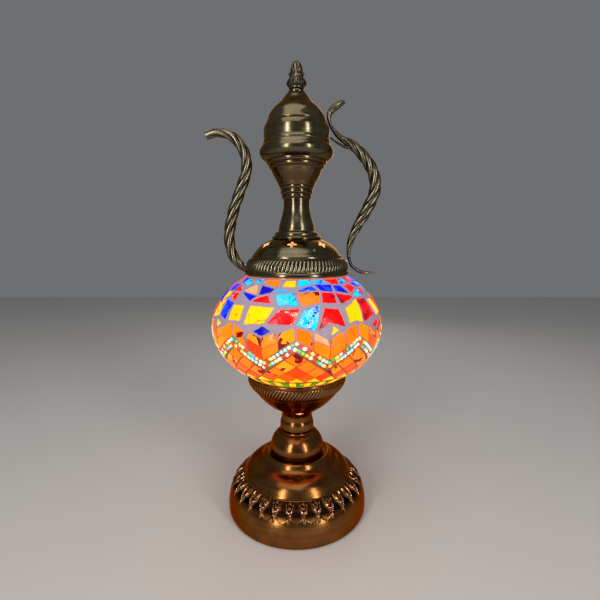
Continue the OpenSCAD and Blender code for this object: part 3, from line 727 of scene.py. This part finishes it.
def finial(metal):
    """A cast bud: a ribbed tulip below, horned leaves round its waist and a fluted bud on top."""
    outer = [(3.05, 412.5), (6.4, 412.5), (7, 413.2), (6.8, 414.4), (8.2, 415.8), (8.8, 418), (8.2, 420.4),
        (6.3, 422), (6.5, 424), (6.7, 425.8), (5.6, 427.2), (5.6, 429.4), (5.0, 431.8), (4.3, 433.8),
        (3.1, 435.8), (1.6, 437.1), (0, 437.5)]

    def push(r, z, az):
        tulip = np.exp(-((z - 418.2) / 2.6) ** 2)
        petals = np.abs(np.cos(4 * az)) ** 0.6
        ribs = np.abs(np.cos(12 * az))
        horn = np.exp(-((z - 425.6) / 1.25) ** 2)
        leaf = np.clip(np.cos(5 * az + 0.4), 0, 1) ** 1.4
        frill = np.exp(-((z - 421.6) / 0.8) ** 2) * np.abs(np.cos(10 * az))
        bud = np.clip((z - 427) / 3, 0, 1) * np.clip((437 - z) / 3, 0, 1)
        flutes = np.abs(np.cos(4 * az + 0.25 * (z - 427))) ** 0.7
        out = tulip * (0.7 * petals + 0.25 * ribs - 0.45) + horn * (1.35 * leaf - 0.35) + 0.55 * frill
        out = out + bud * (0.8 * flutes - 0.45)
        hollow = tulip * (1 - petals * ribs) + horn * (1 - leaf) * 0.7 + bud * (1 - flutes) * 0.9
        ridge = tulip * petals * ribs + horn * leaf + frill + bud * flutes
        # Hollows are darkened as painted shade and ridges lightened as painted highlights.
        return out, np.clip(1.25 * hollow, 0, 1) - 0.5 * np.clip(2 * ridge - 1.2, 0, 1)

    lathe("finial_bud", outer, [(3.05, 425), (0, 425)], [metal], "finial", 192, push, closed=False,
        step=0.35, replaces=["finial"], slot="cast_brass")


# ---------- spout and handle ----------

STRANDS = 4
ARM_SIDES = 96
ARM_STEP = 0.5
# The rings of a bore: how deep, and how wide as a share of the arm's end.
MOUTH = ((0.0, 0.72), (4.0, 0.6), (7.0, 0.35))


def bored_mouth(points, faces, recess, end, direction):
    """Carries on from an arm's last ring into a bore, as rings at each depth and size in MOUTH."""
    last = len(points) - ARM_SIDES
    edge = last
    for depth, size in MOUTH:
        first = len(points)
        for point in points[last:last + ARM_SIDES]:
            off = np.array(point) - np.array([end[0], 0, end[1]])
            centre = np.array([end[0] - direction[0] * depth, 0, end[1] - direction[1] * depth])
            points.append((centre + off * size).tolist())
            recess.append(0.3 if depth == 0 else 1.0)
        faces += strip(edge, first, ARM_SIDES)
        edge = first
    faces.append([edge + j for j in range(ARM_SIDES)])


def twisted_arm(name, path, metal, node, pitch, mouth=False):
    """A cast arm in the plane y = 0. Each path row is x, z, half thickness, half depth and how deeply
    the strands are cut; the strands turn once every pitch millimetres where they are cut deep."""
    count = int(sum(math.dist(a[:2], b[:2]) for a, b in zip(path, path[1:])) / ARM_STEP)
    rows, at = smooth_path(path, count)
    turn = np.arange(ARM_SIDES) * 2 * math.pi / ARM_SIDES
    along = np.gradient(rows[:, :2], axis=0)
    along /= np.linalg.norm(along, axis=1, keepdims=True)
    spin = np.cumsum(np.gradient(at) * np.clip(rows[:, 4], 0, 1) * 2 * math.pi / pitch)
    points, recess = [], []
    for k in range(count):
        x, z, thick, deep, cut = rows[k]
        across = np.array([along[k][1], -along[k][0]])
        cut = max(cut, 0)
        phase = (turn - spin[k]) * STRANDS
        strand = np.abs(np.cos(phase / 2)) ** 0.8
        veins = np.abs(np.cos(3 * math.pi * np.cos(turn))) if cut < 0.35 else strand
        shape = cut * 0.24 * strand + (1 - cut) * 0.10 * veins
        scale = 0.78 + 0.12 * (1 - cut) + shape
        side = thick * scale * np.sin(turn)
        front = -deep * scale * np.cos(turn)
        ring = np.stack([x + across[0] * side, front, z + across[1] * side], 1)
        points.extend(ring.tolist())
        ridge = cut * strand + (1 - cut) * veins
        # Grooves between strands are darkened as painted shade and strand crests lightened as painted
        # highlights.
        dark = np.clip(1.3 - 2.2 * ridge, 0, 1)
        recess.extend((dark - 0.3 * np.clip(6 * ridge - 5, 0, 1)).tolist())
    faces = [list(range(ARM_SIDES))[::-1]]
    last = (count - 1) * ARM_SIDES
    for k in range(0, last, ARM_SIDES):
        faces += strip(k, k + ARM_SIDES, ARM_SIDES)
    if mouth:
        bored_mouth(points, faces, recess, rows[-1][:2], along[-1])
    else:
        faces.append([last + j for j in range(ARM_SIDES)])
    piece(name, points, faces, [metal], "top", [node], "cast_brass", sharp=SHARP_ARM,
        recess=recess)


def arms(metal):
    spout = [(-49.2, 247.2, 2.9, 2.9, 0.4), (-52.6, 249.4, 3.6, 3.6, 0.6), (-58.6, 255, 4.9, 4.9, 1),
        (-64, 266, 5.2, 5.2, 1), (-65.2, 282, 5.3, 5.3, 1), (-61, 302, 5.3, 5.3, 1),
        (-54, 322, 5.3, 5.3, 1), (-47.6, 340, 5.3, 5.3, 1), (-48.8, 356.5, 5.2, 5.2, 1),
        (-58.5, 370, 4.7, 4.7, 0.9), (-72, 375, 4.0, 4.0, 0.6), (-84.6, 372.2, 3.9, 3.2, 0.1)]
    twisted_arm("spout_cast", spout, metal, "spout", 58, mouth=True)
    handle = [(75.8, 244.2, 0.7, 1.2, 0), (67, 244, 1.7, 3.4, 0), (59, 246.6, 1.8, 3.8, 0),
        (52.8, 252.6, 1.6, 3.2, 0.1), (50.6, 262, 1.9, 3.0, 0.4), (52.4, 275, 3.2, 3.6, 1),
        (58.6, 288.6, 4.5, 4.5, 1), (67, 303.6, 5.5, 5.5, 1), (74.4, 321, 5.6, 5.6, 1),
        (73.4, 337, 5.6, 5.6, 1), (65, 351.5, 5.4, 5.4, 1), (53.6, 363, 4.6, 4.8, 0.9),
        (41, 370.6, 2.8, 4.0, 0.5), (33.2, 379, 1.5, 3.6, 0.1), (30.2, 387, 1.9, 3.9, 0),
        (32, 394, 3.0, 4.4, 0), (38, 399, 3.3, 4.6, 0), (44.2, 402.3, 1.7, 2.4, 0)]
    twisted_arm("handle_cast", handle, metal, "handle", 52)
    tongue = [(31.6, 370.6, 0.7, 1.4, 0), (38, 366.2, 0.9, 2.2, 0), (46, 362, 1.2, 2.6, 0),
        (53, 362.2, 1.4, 2.6, 0)]
    twisted_arm("handle_tongue", tongue, metal, "handle", 52)


# ---------- holder and bulb ----------

def holder(ceramic, plastic, cap):
    """The lamp holder with its ribbed body, and the bulb's screw cap in it."""
    lathe("holder_core", [(11.9, 118.2), (11.9, 139.6)], [(8.0, 118.2), (8.0, 139.6)], [ceramic], "root",
        96, replaces=["holder_insert"], slot="holder_ceramic")

    def ribs(r, z, az):
        on_band = (z > 118.5) * (z < 136)
        rib = 0.35 * np.abs(np.sin(18 * az)) ** 0.5 * on_band
        return rib - 0.3 * on_band, (1 - rib * 2.6) * on_band
    lathe("holder_body", [(5.2, 108.4), (9, 108.4), (13, 112.5), (14, 117), (14, 139.4), (13.2, 140.4)],
        [(5.2, 113.8), (12.2, 118), (12.2, 140.4)], [plastic], "root", 216, ribs,
        fine=(13, 15, 117, 139, 1.5), replaces=["lamp_holder"], slot="black_plastic")

    def thread(r, z, az):
        wave = np.sin(2 * math.pi * z / 2.8 - az)
        return 0.22 * wave * (z > 124) * (z < 140.5) - 0.22, np.clip(-wave, 0, 1) * 0.5
    lathe("bulb_screw", [(6.95, 123), (6.95, 139.5), (7.2, 141.4)], [(3, 123), (3, 141.4)], [cap], "bulb",
        96, thread, fine=(6, 8, 122, 142, 0.35), round_off=0.1, replaces=["bulb_cap"],
        slot="bulb_cap_metal")


def bulb(glass):
    outer = [(8.6, 141.5), (9.2, 146), (10.4, 152), (13, 158)] + arc(0, 178, 22.5, 22.5, -48, 90, 20)
    outer[-1] = (0, 200.5)
    inner = [(7.8, 141.5), (8.4, 146), (9.6, 152), (12.2, 158.4)] + arc(0, 178, 21.7, 21.7, -48, 90, 20)
    inner[-1] = (0, 199.7)
    lathe("bulb_envelope", outer, inner, [glass], "bulb", 128, sharp_turn=60, replaces=["bulb_glass"],
        slot="bulb_glass")


# ---------- mosaic globe ----------

# The tiles' bed is an ellipsoid TILE_A wide and TILE_B high from its centre at GLOBE_Z; tiles are TILE_T
# thick. The pattern's own sizes are in degrees of azimuth and latitude.
TILE_A, TILE_B, GLOBE_Z, TILE_T = 81.8, 58.7, 193.1, 1.0
SECTORS = 9
ZIG_MID, ZIG_AMP, BEAD_STEP, BEADS_PER_SECTOR = -11, 9.2, 2.35, 18
BAND_LOW, BAND_MID, BAND_AMP, BAND_COLS = 4.9, 8.7, 4.6, 4
WEDGE_W, WEDGE_TOP, BAND_GAP, WEDGE_GAP = 6.2, 13.5, 0.7, 1.6
T_TOP, T_RING, T_BOTTOM = 54.2, -43.8, -52.3
T_LATTICE, LATTICE_STEP, DIAMOND_W, DIAMOND_H = -13.5, -6.9, 6.4, 6.7
# Rows of upper tiles from the band up, one letter a tile; a capital letter is a tile with glitter.
UPPER_PAINT = [
    "rybyyRCryryryrrcybyraryy",
    "byrbrcarrcrcrcbyrcbarcyb",
    "rbrpbcBbbrbcbrcbprbcbrcr",
    "rbccayccrcrbcbrbcyrcbcbc"]
# How high each line between the rows lies, as a share of the way to the skirt, and how far it strays.
UPPER_SHARE = [0, 0.42, 0.66, 0.83, 1]
UPPER_PLAY = [0, 0.12, 0.085, 0.06, 0]
WEDGE_PAINT = "yrcyybryb"
COLOURS = {"r": "red", "b": "blue", "c": "cyan", "y": "yellow", "a": "amber", "f": "flame", "g": "green",
    "p": "peach"}
BEAD_COLOURS = {"w": "white", "r": "red", "g": "green", "y": "yellow", "b": "blue"}
BEAD_CYCLE = "wygwrycgwbrywcgrywrc"


def wave(az):
    """The pattern's wave at an azimuth in degrees: 1 at a peak, as at the front, and -1 at a trough."""
    return 1 - 4 * abs((az / 360 * SECTORS + 0.5) % 1 - 0.5)


def zig(az):
    """Latitude of the zigzag of beads."""
    return ZIG_MID + ZIG_AMP * wave(az)


def band_top(az):
    """Latitude of the top of the amber band."""
    return BAND_MID + BAND_AMP * wave(az)


def upper_low(az):
    """Lower edge of the broken tiles: over the amber band, and over the wedge in each trough."""
    off_trough = (1 + wave(az)) / 4 * 360 / SECTORS
    wedge_side = (WEDGE_TOP - band_top(180 / SECTORS - WEDGE_W)) / WEDGE_W
    return max(band_top(az) + BAND_GAP, WEDGE_TOP + WEDGE_GAP - wedge_side * off_trough)


def degree_sizes(t):
    """Millimetres along the globe in a degree of azimuth and in one of latitude, at latitude t."""
    t = math.radians(t)
    upward = math.hypot(TILE_A * math.sin(t), TILE_B * math.cos(t))
    return TILE_A * math.cos(t) * math.pi / 180, upward * math.pi / 180


def on_globe(az, t, h):
    """Points h outside the tiles' bed, at azimuth az and latitude t in degrees."""
    az, t = np.radians(az), np.radians(t)
    nr, nz = np.cos(t) / TILE_A, np.sin(t) / TILE_B
    size = np.hypot(nr, nz)
    r = TILE_A * np.cos(t) + h * nr / size
    z = GLOBE_Z + TILE_B * np.sin(t) + h * nz / size
    return np.stack([r * np.sin(az), -r * np.cos(az), z], -1)


class Heap:
    """Gathers many small solids of one colour into one piece."""

    def __init__(self):
        self.points, self.faces = [], []
        self.tone, self.recess, self.sparkle = [], [], []

    def put(self, points, faces, tone, recess, sparkle=0.0):
        first = len(self.points)
        self.points.extend(np.asarray(points).tolist())
        self.faces.extend([[first + v for v in face] for face in faces])
        self.tone.extend([tone] * len(points))
        self.recess.extend(recess)
        self.sparkle.extend([sparkle] * len(points))


def inset(corners, gap):
    """Moves each edge of a polygon inwards, and turns its corners anticlockwise."""
    n = len(corners)
    area = sum(corners[i][0] * corners[(i + 1) % n][1] - corners[(i + 1) % n][0] * corners[i][1]
        for i in range(n))
    turn = 1 if area > 0 else -1
    out = []
    for i in range(n):
        a, b, c = (np.array(corners[k % n]) for k in (i - 1, i, i + 1))
        d0, d1 = (b - a) / np.linalg.norm(b - a), (c - b) / np.linalg.norm(c - b)
        n0, n1 = turn * np.array([-d0[1], d0[0]]), turn * np.array([-d1[1], d1[0]])
        out.append(b + (n0 + n1) * gap / max(1 + n0 @ n1, 0.35))
    return out if turn > 0 else out[::-1]


# Rings of a tile up its side and over its edge: how far in, how high as a share of its thickness, and
# how dark, as painted shade at its sides; and the rings on its top, as shares of its outline.
TILE_RINGS = ((0, 0.0, 1.0), (0, 0.62, 0.9), (0.16, 0.87, 0.5), (0.45, 0.97, 0.1), (0.9, 1.0, 0))
TOP_RINGS = (0.62, 0.3)
# A tile's corners are cut off by about CHIP, its sides waver every EDGE_STEP by up to WAVER, and it
# leans and lies a little deep or proud in the plaster.
CHIP, EDGE_STEP, WAVER = 0.45, 2.6, 0.12
LEAN, LIFT = 0.022, (-0.12, 0.05)


def worn_edge(flat, chips):
    """The outline of broken glass: knocked-off corners and sides that waver, more so with chips."""
    edge = []
    for i in range(len(flat)):
        a, b, c = flat[i - 1], flat[i], flat[(i + 1) % len(flat)]
        back, ahead = (a - b) / np.linalg.norm(a - b), (c - b) / np.linalg.norm(c - b)
        cut = CHIP * rng.uniform(0.4, 1.6)
        edge += [b + back * cut, b + (back + ahead) * cut * 0.28, b + ahead * cut]
        span = np.linalg.norm(c - b)
        parts = max(1, int(span / EDGE_STEP))
        for k in range(1, parts):
            wobble = rng.uniform(-WAVER, WAVER) + chips * rng.uniform(-0.2, 0.2)
            normal = np.array([-ahead[1], ahead[0]])
            edge.append(b + ahead * span * k / parts + normal * wobble)
    return np.array(edge)


def tile(heap, corners, gap, sparkle=0.0, chips=0.0):
    """A slab of glass that follows the globe. corners are (azimuth, latitude) pairs."""
    az0 = sum(c[0] for c in corners) / len(corners)
    t0 = sum(c[1] for c in corners) / len(corners)
    across, upward = degree_sizes(t0)
    flat = inset([((c[0] - az0) * across, (c[1] - t0) * upward) for c in corners], gap)
    centre = sum(flat) / len(flat)
    edge = worn_edge(flat, chips)
    count = len(edge)
    lean = np.array([rng.uniform(-LEAN, LEAN), rng.uniform(-LEAN, LEAN)])
    lift = rng.uniform(*LIFT)
    offset = edge - centre
    size = np.linalg.norm(offset, axis=1, keepdims=True)
    points, recess = [], []

    def put(ring, h, mark):
        points.extend(on_globe(az0 + ring[:, 0] / across, t0 + ring[:, 1] / upward, np.minimum(h, TILE_T)))
        recess.extend([mark] * len(ring))

    for drop, height, mark in TILE_RINGS:
        ring = centre + offset * np.clip(1 - drop / size, 0.3, 1)
        put(ring, height * TILE_T + (lift + ring @ lean) * (height > 0), mark)
    for share in TOP_RINGS:
        ring = centre + offset * share
        put(ring, TILE_T + lift + ring @ lean, 0.0)
    for h in (TILE_T + lift, 0.0):
        put(centre[None, :], h, 0.0)
    last = (len(TILE_RINGS) + len(TOP_RINGS) - 1) * count
    faces = fan(last, count, last + count)
    faces += [face[::-1] for face in fan(0, count, last + count + 1)]
    for k in range(0, last, count):
        faces += strip(k, k + count, count)
    heap.put(points, faces, rng.random(), recess, sparkle)


# A bead is spun about its hole from (along, radius) pairs and sunk into the plaster.
BEAD_SIDES = 14
BEAD_SINK = 0.14
BEAD_OUTLINE = [(-1.15, 0.0), (-1.28, 0.5), (-1.5, 0.75), (-1.62, 1.15), (-1.3, 1.5), (-0.6, 1.62),
    (0.6, 1.62), (1.3, 1.5), (1.62, 1.15), (1.5, 0.75), (1.28, 0.5), (1.15, 0.0)]


def bead(heap, az, t, size, slope, tone):
    """A seed bead lying in the grout with its hole along the row, a little askew. slope is the row's."""
    across, upward = degree_sizes(t)
    yaw = slope + rng.uniform(-0.35, 0.35)
    stretch = rng.uniform(0.8, 1.02)
    points, recess = [], []
    for x, r in BEAD_OUTLINE:
        for j in range(1 if r == 0 else BEAD_SIDES):
            a = 2 * math.pi * j / BEAD_SIDES
            along, side, up = x * stretch, r * math.cos(a), r * math.sin(a) - BEAD_SINK
            u = along * math.cos(yaw) - side * math.sin(yaw)
            v = along * math.sin(yaw) + side * math.cos(yaw)
            points.append(on_globe(az + size * u / across, t + size * v / upward, size * up))
            # Painted shade: the bead's ends and low sides are darker.
            recess.append(1.0 if r < 0.6 or up < 0.0 else 0.55 if up < 0.7 or r < 0.9 else 0.0)
    end = len(points) - 1
    faces = [face[::-1] for face in fan(1, BEAD_SIDES, 0)] + fan(end - BEAD_SIDES, BEAD_SIDES, end)
    for k in range(1, end - BEAD_SIDES, BEAD_SIDES):
        faces += strip(k, k + BEAD_SIDES, BEAD_SIDES)
    heap.put(points, faces, tone, recess)


def upper_corner(i, j, wander):
    """Corner i of the line under row j of the broken tiles, moved by its share of wander."""
    cols = len(UPPER_PAINT[0])
    da, dt = wander[(i % cols, j)]
    az = (i + da) * 360 / cols - 90
    low = upper_low(az)
    share = UPPER_SHARE[j] + dt * UPPER_PLAY[j]
    return az, low + (T_TOP - low) * share


def upper_tiles(heaps):
    """Rows of broken glass from the amber band up to the skirt."""
    cols = len(UPPER_PAINT[0])
    wander = {(i, j): (rng.uniform(-0.3, 0.3), rng.uniform(-1, 1))
        for j in range(len(UPPER_PAINT) + 1) for i in range(cols)}
    half = 180 / SECTORS
    for j, row in enumerate(UPPER_PAINT):
        for i, letter in enumerate(row):
            a, b = upper_corner(i, j, wander), upper_corner(i + 1, j, wander)
            c, d = upper_corner(i + 1, j + 1, wander), upper_corner(i, j + 1, wander)
            quad = [a, b, c, d]
            centre = (sum(q[0] for q in quad) / 4, sum(q[1] for q in quad) / 4)
            for k in range(4):
                pull = rng.choice((0.0, 0.04, 0.1, 0.26))
                quad[k] = tuple(quad[k][n] + (centre[n] - quad[k][n]) * pull for n in (0, 1))
            if j == 0:
                bend = math.ceil(a[0] / half) * half
                if a[0] + 2.5 < bend < b[0] - 2.5:
                    quad.insert(1, (bend, upper_low(bend)))
            elif letter in "bcr" and rng.random() < 0.2:
                quad.pop(rng.randrange(4))
            sparkle = 1.0 if letter.isupper() else 0.5 if rng.random() < 0.1 else 0.0
            tile(heaps[letter.lower()], quad, rng.uniform(0.45, 1.0), sparkle=sparkle, chips=1.2)


def wedges(heaps):
    """A kite of glass in each trough of the amber band."""
    for k, letter in enumerate(WEDGE_PAINT):
        az = (k + 0.5) * 360 / SECTORS
        low = band_top(az) + BAND_GAP
        side = band_top(az + WEDGE_W) + BAND_GAP
        kite = [(az - WEDGE_W, side), (az, low), (az + WEDGE_W, side + rng.uniform(0, 2.5)),
            (az + rng.uniform(-2.5, 3.5), WEDGE_TOP - rng.uniform(0, 1))]
        if rng.random() < 0.5:
            kite.pop(0)
        tile(heaps[letter], kite, rng.uniform(0.4, 0.7), chips=1.0)


def band_tiles(heaps):
    """The amber band over the beads: one row beside the peaks and two beside the troughs."""
    step = 360 / (SECTORS * BAND_COLS)

    def corner(az, share, lean=0.0):
        low = zig(az) + BAND_LOW
        return az + lean, low + (band_top(az) - low) * share
    for i in range(SECTORS * BAND_COLS):
        by_peak = i % BAND_COLS in (0, BAND_COLS - 1)
        cut = rng.uniform(0.42, 0.6)
        lean = rng.uniform(-1.2, 1.2)
        for k, (low, high) in enumerate([(0, 1)] if by_peak else [(0, cut), (cut, 1)]):
            letter = "p" if (i, k) == (1, 1) else "f" if (i * 2 + k) % 7 == 3 else "a"
            quad = [corner(i * step, low), corner((i + 1) * step, low),
                corner((i + 1) * step, high, lean * high), corner(i * step, high, lean * high)]
            if high == 1:
                quad[2] = (quad[2][0] - rng.uniform(0, 2.5), quad[2][1] - rng.uniform(0, 1.5))
                quad[3] = (quad[3][0] + rng.uniform(0, 1.5), quad[3][1] - rng.uniform(0, 1.5))
            tile(heaps[letter], quad, rng.uniform(0.25, 0.5), chips=0.7)


def lattice(heaps):
    """Diamonds hanging below the beads in four rows, half diamonds under them, and the ring at the cup."""
    n = SECTORS * 3
    step = 360 / n
    for j in range(5):
        for i in range(n):
            az = (i + (j % 2) / 2) * step
            t = T_LATTICE + LATTICE_STEP * j
            from_peak = (1 - wave(az)) / 4 * 360 / SECTORS
            letter = "y" if j == 4 else "f" if j == 3 or (j == 2 and i % 3 == 0) else "a"
            if from_peak < (j + 0.5) * step / 2:
                shape = [(az + DIAMOND_W, t), (az, t + DIAMOND_H), (az - DIAMOND_W, t)]
                if j < 4:
                    shape.append((az, t - DIAMOND_H))
                tile(heaps[letter], shape, rng.uniform(0.25, 0.5))
    ring = SECTORS * 6
    for i in range(ring):
        a, b = i * 360 / ring, (i + 1) * 360 / ring
        tile(heaps["gy"[i % 2]], [(a, T_BOTTOM), (b, T_BOTTOM), (b, T_RING), (a, T_RING)], 0.35)


def beads():
    """Two rows of beads along the zigzag. The cycle's c is a blue bead of the palest tone."""
    heaps = {letter: Heap() for letter in BEAD_COLOURS}
    n = SECTORS * BEADS_PER_SECTOR
    for row in (-1, 1):
        for k in range(n):
            letter = BEAD_CYCLE[(k * 7 + (3 if row > 0 else 0) + (k // 9)) % len(BEAD_CYCLE)]
            tone = 1.0 if letter == "c" else rng.uniform(0, 0.7)
            letter = "b" if letter == "c" else letter
            az = (k + 0.25 * row) * 360 / n + rng.uniform(-0.12, 0.12)
            t = zig(az) + row * BEAD_STEP + rng.uniform(-0.25, 0.25)
            rising = zig(az + 0.5) > zig(az - 0.5)
            bead(heaps[letter], az, t, rng.uniform(1.02, 1.16), 0.6 if rising else -0.6, tone)
    return heaps


def globe(stained, clear, plaster):
    """The tiles in stained glass, the beads in clear glass and the plaster between them."""
    heaps = {letter: Heap() for letter in COLOURS}
    for layer in (upper_tiles, wedges, band_tiles, lattice):
        layer(heaps)
    for letter, word in COLOURS.items():
        heap = heaps[letter]
        piece("mosaic_" + word, heap.points, heap.faces, [stained[letter]], "globe",
            ["tiles_" + word], "tile_" + word, tone=heap.tone, recess=heap.recess, sparkle=heap.sparkle)
    for letter, heap in beads().items():
        word = BEAD_COLOURS[letter]
        piece("seed_beads_" + word, heap.points, heap.faces, [clear[letter]], "globe",
            ["beads_" + word], "bead_" + word, tone=heap.tone, recess=heap.recess)
    outer = [(48.1, 144.8)] + arc(0, GLOBE_Z, TILE_A + 0.42, TILE_B + 0.42, -53.6, 54.6, 60)
    inner = [(47.5, 144.8)] + arc(0, GLOBE_Z, TILE_A - 0.55, TILE_B - 0.55, -53.6, 54.3, 40)

    def lumps(r, z, az):
        cross = np.sin(az * 61 + z * 0.9) * np.sin(az * 37 - z * 1.7)
        return 0.06 * (cross + 0.6 * np.sin(az * 113 + z * 2.3)), 0 * r
    lathe("grout_shell", outer, inner, [plaster], "globe", 288, lumps, replaces=["grout_bed"], slot="grout")


# ---------- carried-over CAD nodes ----------

def finish_nodes(finishes):
    """Gives each material to the CAD nodes named with it."""
    for material, names in finishes:
        for name in names:
            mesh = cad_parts[name].data
            mesh.materials.clear()
            mesh.materials.append(material)


# ---------- the whole lamp ----------

def tile_glasses():
    """One glass for each letter in COLOURS."""
    return {
        "r": tile_glass("tile_red", (0.84, 0.002, 0.004), (1.0, 0.008, 0.006), (0.5, 0.0, 0.01), 0.1),
        "b": tile_glass("tile_blue", (0.003, 0.002, 0.62), (0.006, 0.01, 0.98), (0.01, 0.09, 0.95), 0.12,
            glitter=(0.25, 0.75, 1.0)),
        "c": tile_glass("tile_cyan", (0.0, 0.62, 0.95), (0.0, 0.92, 1.0), (0.005, 0.05, 0.7), 0.14,
            glitter=(0.55, 0.9, 1.0)),
        "y": tile_glass("tile_yellow", (1.0, 0.80, 0.0), (1.0, 0.95, 0.0), flecks=0.9),
        "a": tile_glass("tile_amber", (0.97, 0.25, 0.001), (1.0, 0.50, 0.002), (0.25, 0.003, 0.002), 0.12),
        "f": tile_glass("tile_flame", (0.95, 0.07, 0.002), (1.0, 0.19, 0.003)),
        "g": tile_glass("tile_green", (0.004, 0.26, 0.004), (0.02, 0.52, 0.01), (0.45, 0.6, 0.01), 0.1),
        "p": tile_glass("tile_peach", (0.98, 0.40, 0.12), (1.0, 0.58, 0.27))}


def bead_glasses():
    """One glass for each letter in BEAD_COLOURS."""
    return {
        "w": bead_glass("bead_white", (0.72, 0.58, 0.40), (0.98, 0.90, 0.74)),
        "r": bead_glass("bead_red", (0.7, 0.005, 0.008), (0.95, 0.03, 0.02)),
        "g": bead_glass("bead_green", (0.02, 0.30, 0.02), (0.30, 0.70, 0.12)),
        "y": bead_glass("bead_yellow", (0.95, 0.50, 0.01), (1.0, 0.85, 0.20)),
        "b": bead_glass("bead_blue", (0.10, 0.14, 0.75), (0.38, 0.82, 0.72))}


def body():
    """The metal foot, cup and ewer top. Returns the dark brass."""
    copper = spun_metal("copper_brass", (0.28, 0.122, 0.036), (0.12, 0.040, 0.009), (0.010, 0.005, 0.003),
        edge=(1.0, 0.38, 0.12))
    bronze = spun_metal("dark_brass", (0.19, 0.165, 0.10), (0.085, 0.068, 0.036), (0.010, 0.008, 0.005),
        browned=(0.314, 0.343), edge=(1.0, 0.60, 0.34))
    cast = spun_metal("cast_brass", (0.17, 0.15, 0.10), (0.10, 0.085, 0.052), (0.008, 0.006, 0.004),
        (0.23, 0.33), 0.15, 0.3, edge=(1.0, 0.60, 0.34))
    bare = spun_metal("bare_inside", (0.30, 0.19, 0.09), (0.16, 0.08, 0.03), (0.02, 0.01, 0.006),
        (0.4, 0.6))
    glow = lit_inside("lit_inside", (1.0, 0.58, 0.26), 0.85)
    foot(copper, bare)
    cup(copper, glow)
    ewer(bronze, glow)
    finial(cast)
    arms(cast)
    return bronze


def fittings(dark_brass):
    """The lamp holder, the bulb, and the nodes that keep their CAD shape."""
    steel = plain_steel("zinc_steel")
    plastic = moulded("black_plastic", (0.035, 0.03, 0.028), 0.42)
    rubber = moulded("rubber_seal", (0.03, 0.03, 0.03), 0.75, 900, 0.0002)
    ceramic = moulded("holder_ceramic", (0.78, 0.75, 0.68), 0.3, 500, 0.00004)
    holder(ceramic, plastic, plain_steel("bulb_cap_metal", (0.72, 0.70, 0.62)))
    bulb(frosted_glass("bulb_glass", (1.0, 0.82, 0.56), 3.0))
    finish_nodes([
        (felt(), ["felt_pad"]),
        (steel, ["base_plate", "tube_washers", "tube_nuts", "skirt_clips", "rod_washer", "rod_nut",
            "arm_screws"]),
        (plain_steel("steel_thread", thread=0.0012), ["threaded_tube", "top_rod"]),
        (plastic, ["cord_bushing", "bulb_tip"]),
        (rubber, ["lower_seal", "upper_seal"]),
        (plain_steel("thread_brass", (0.62, 0.45, 0.2), 0.25, 0.0028), ["holder_thread", "holder_contact"]),
        (dark_brass, ["clip_screws"]),
        (frosted_glass("blown_glass", (0.6, 0.26, 0.09), 0.25), ["globe_glass"])])


camera()
lights()
floor()
fittings(body())
globe(tile_glasses(), bead_glasses(), grout())
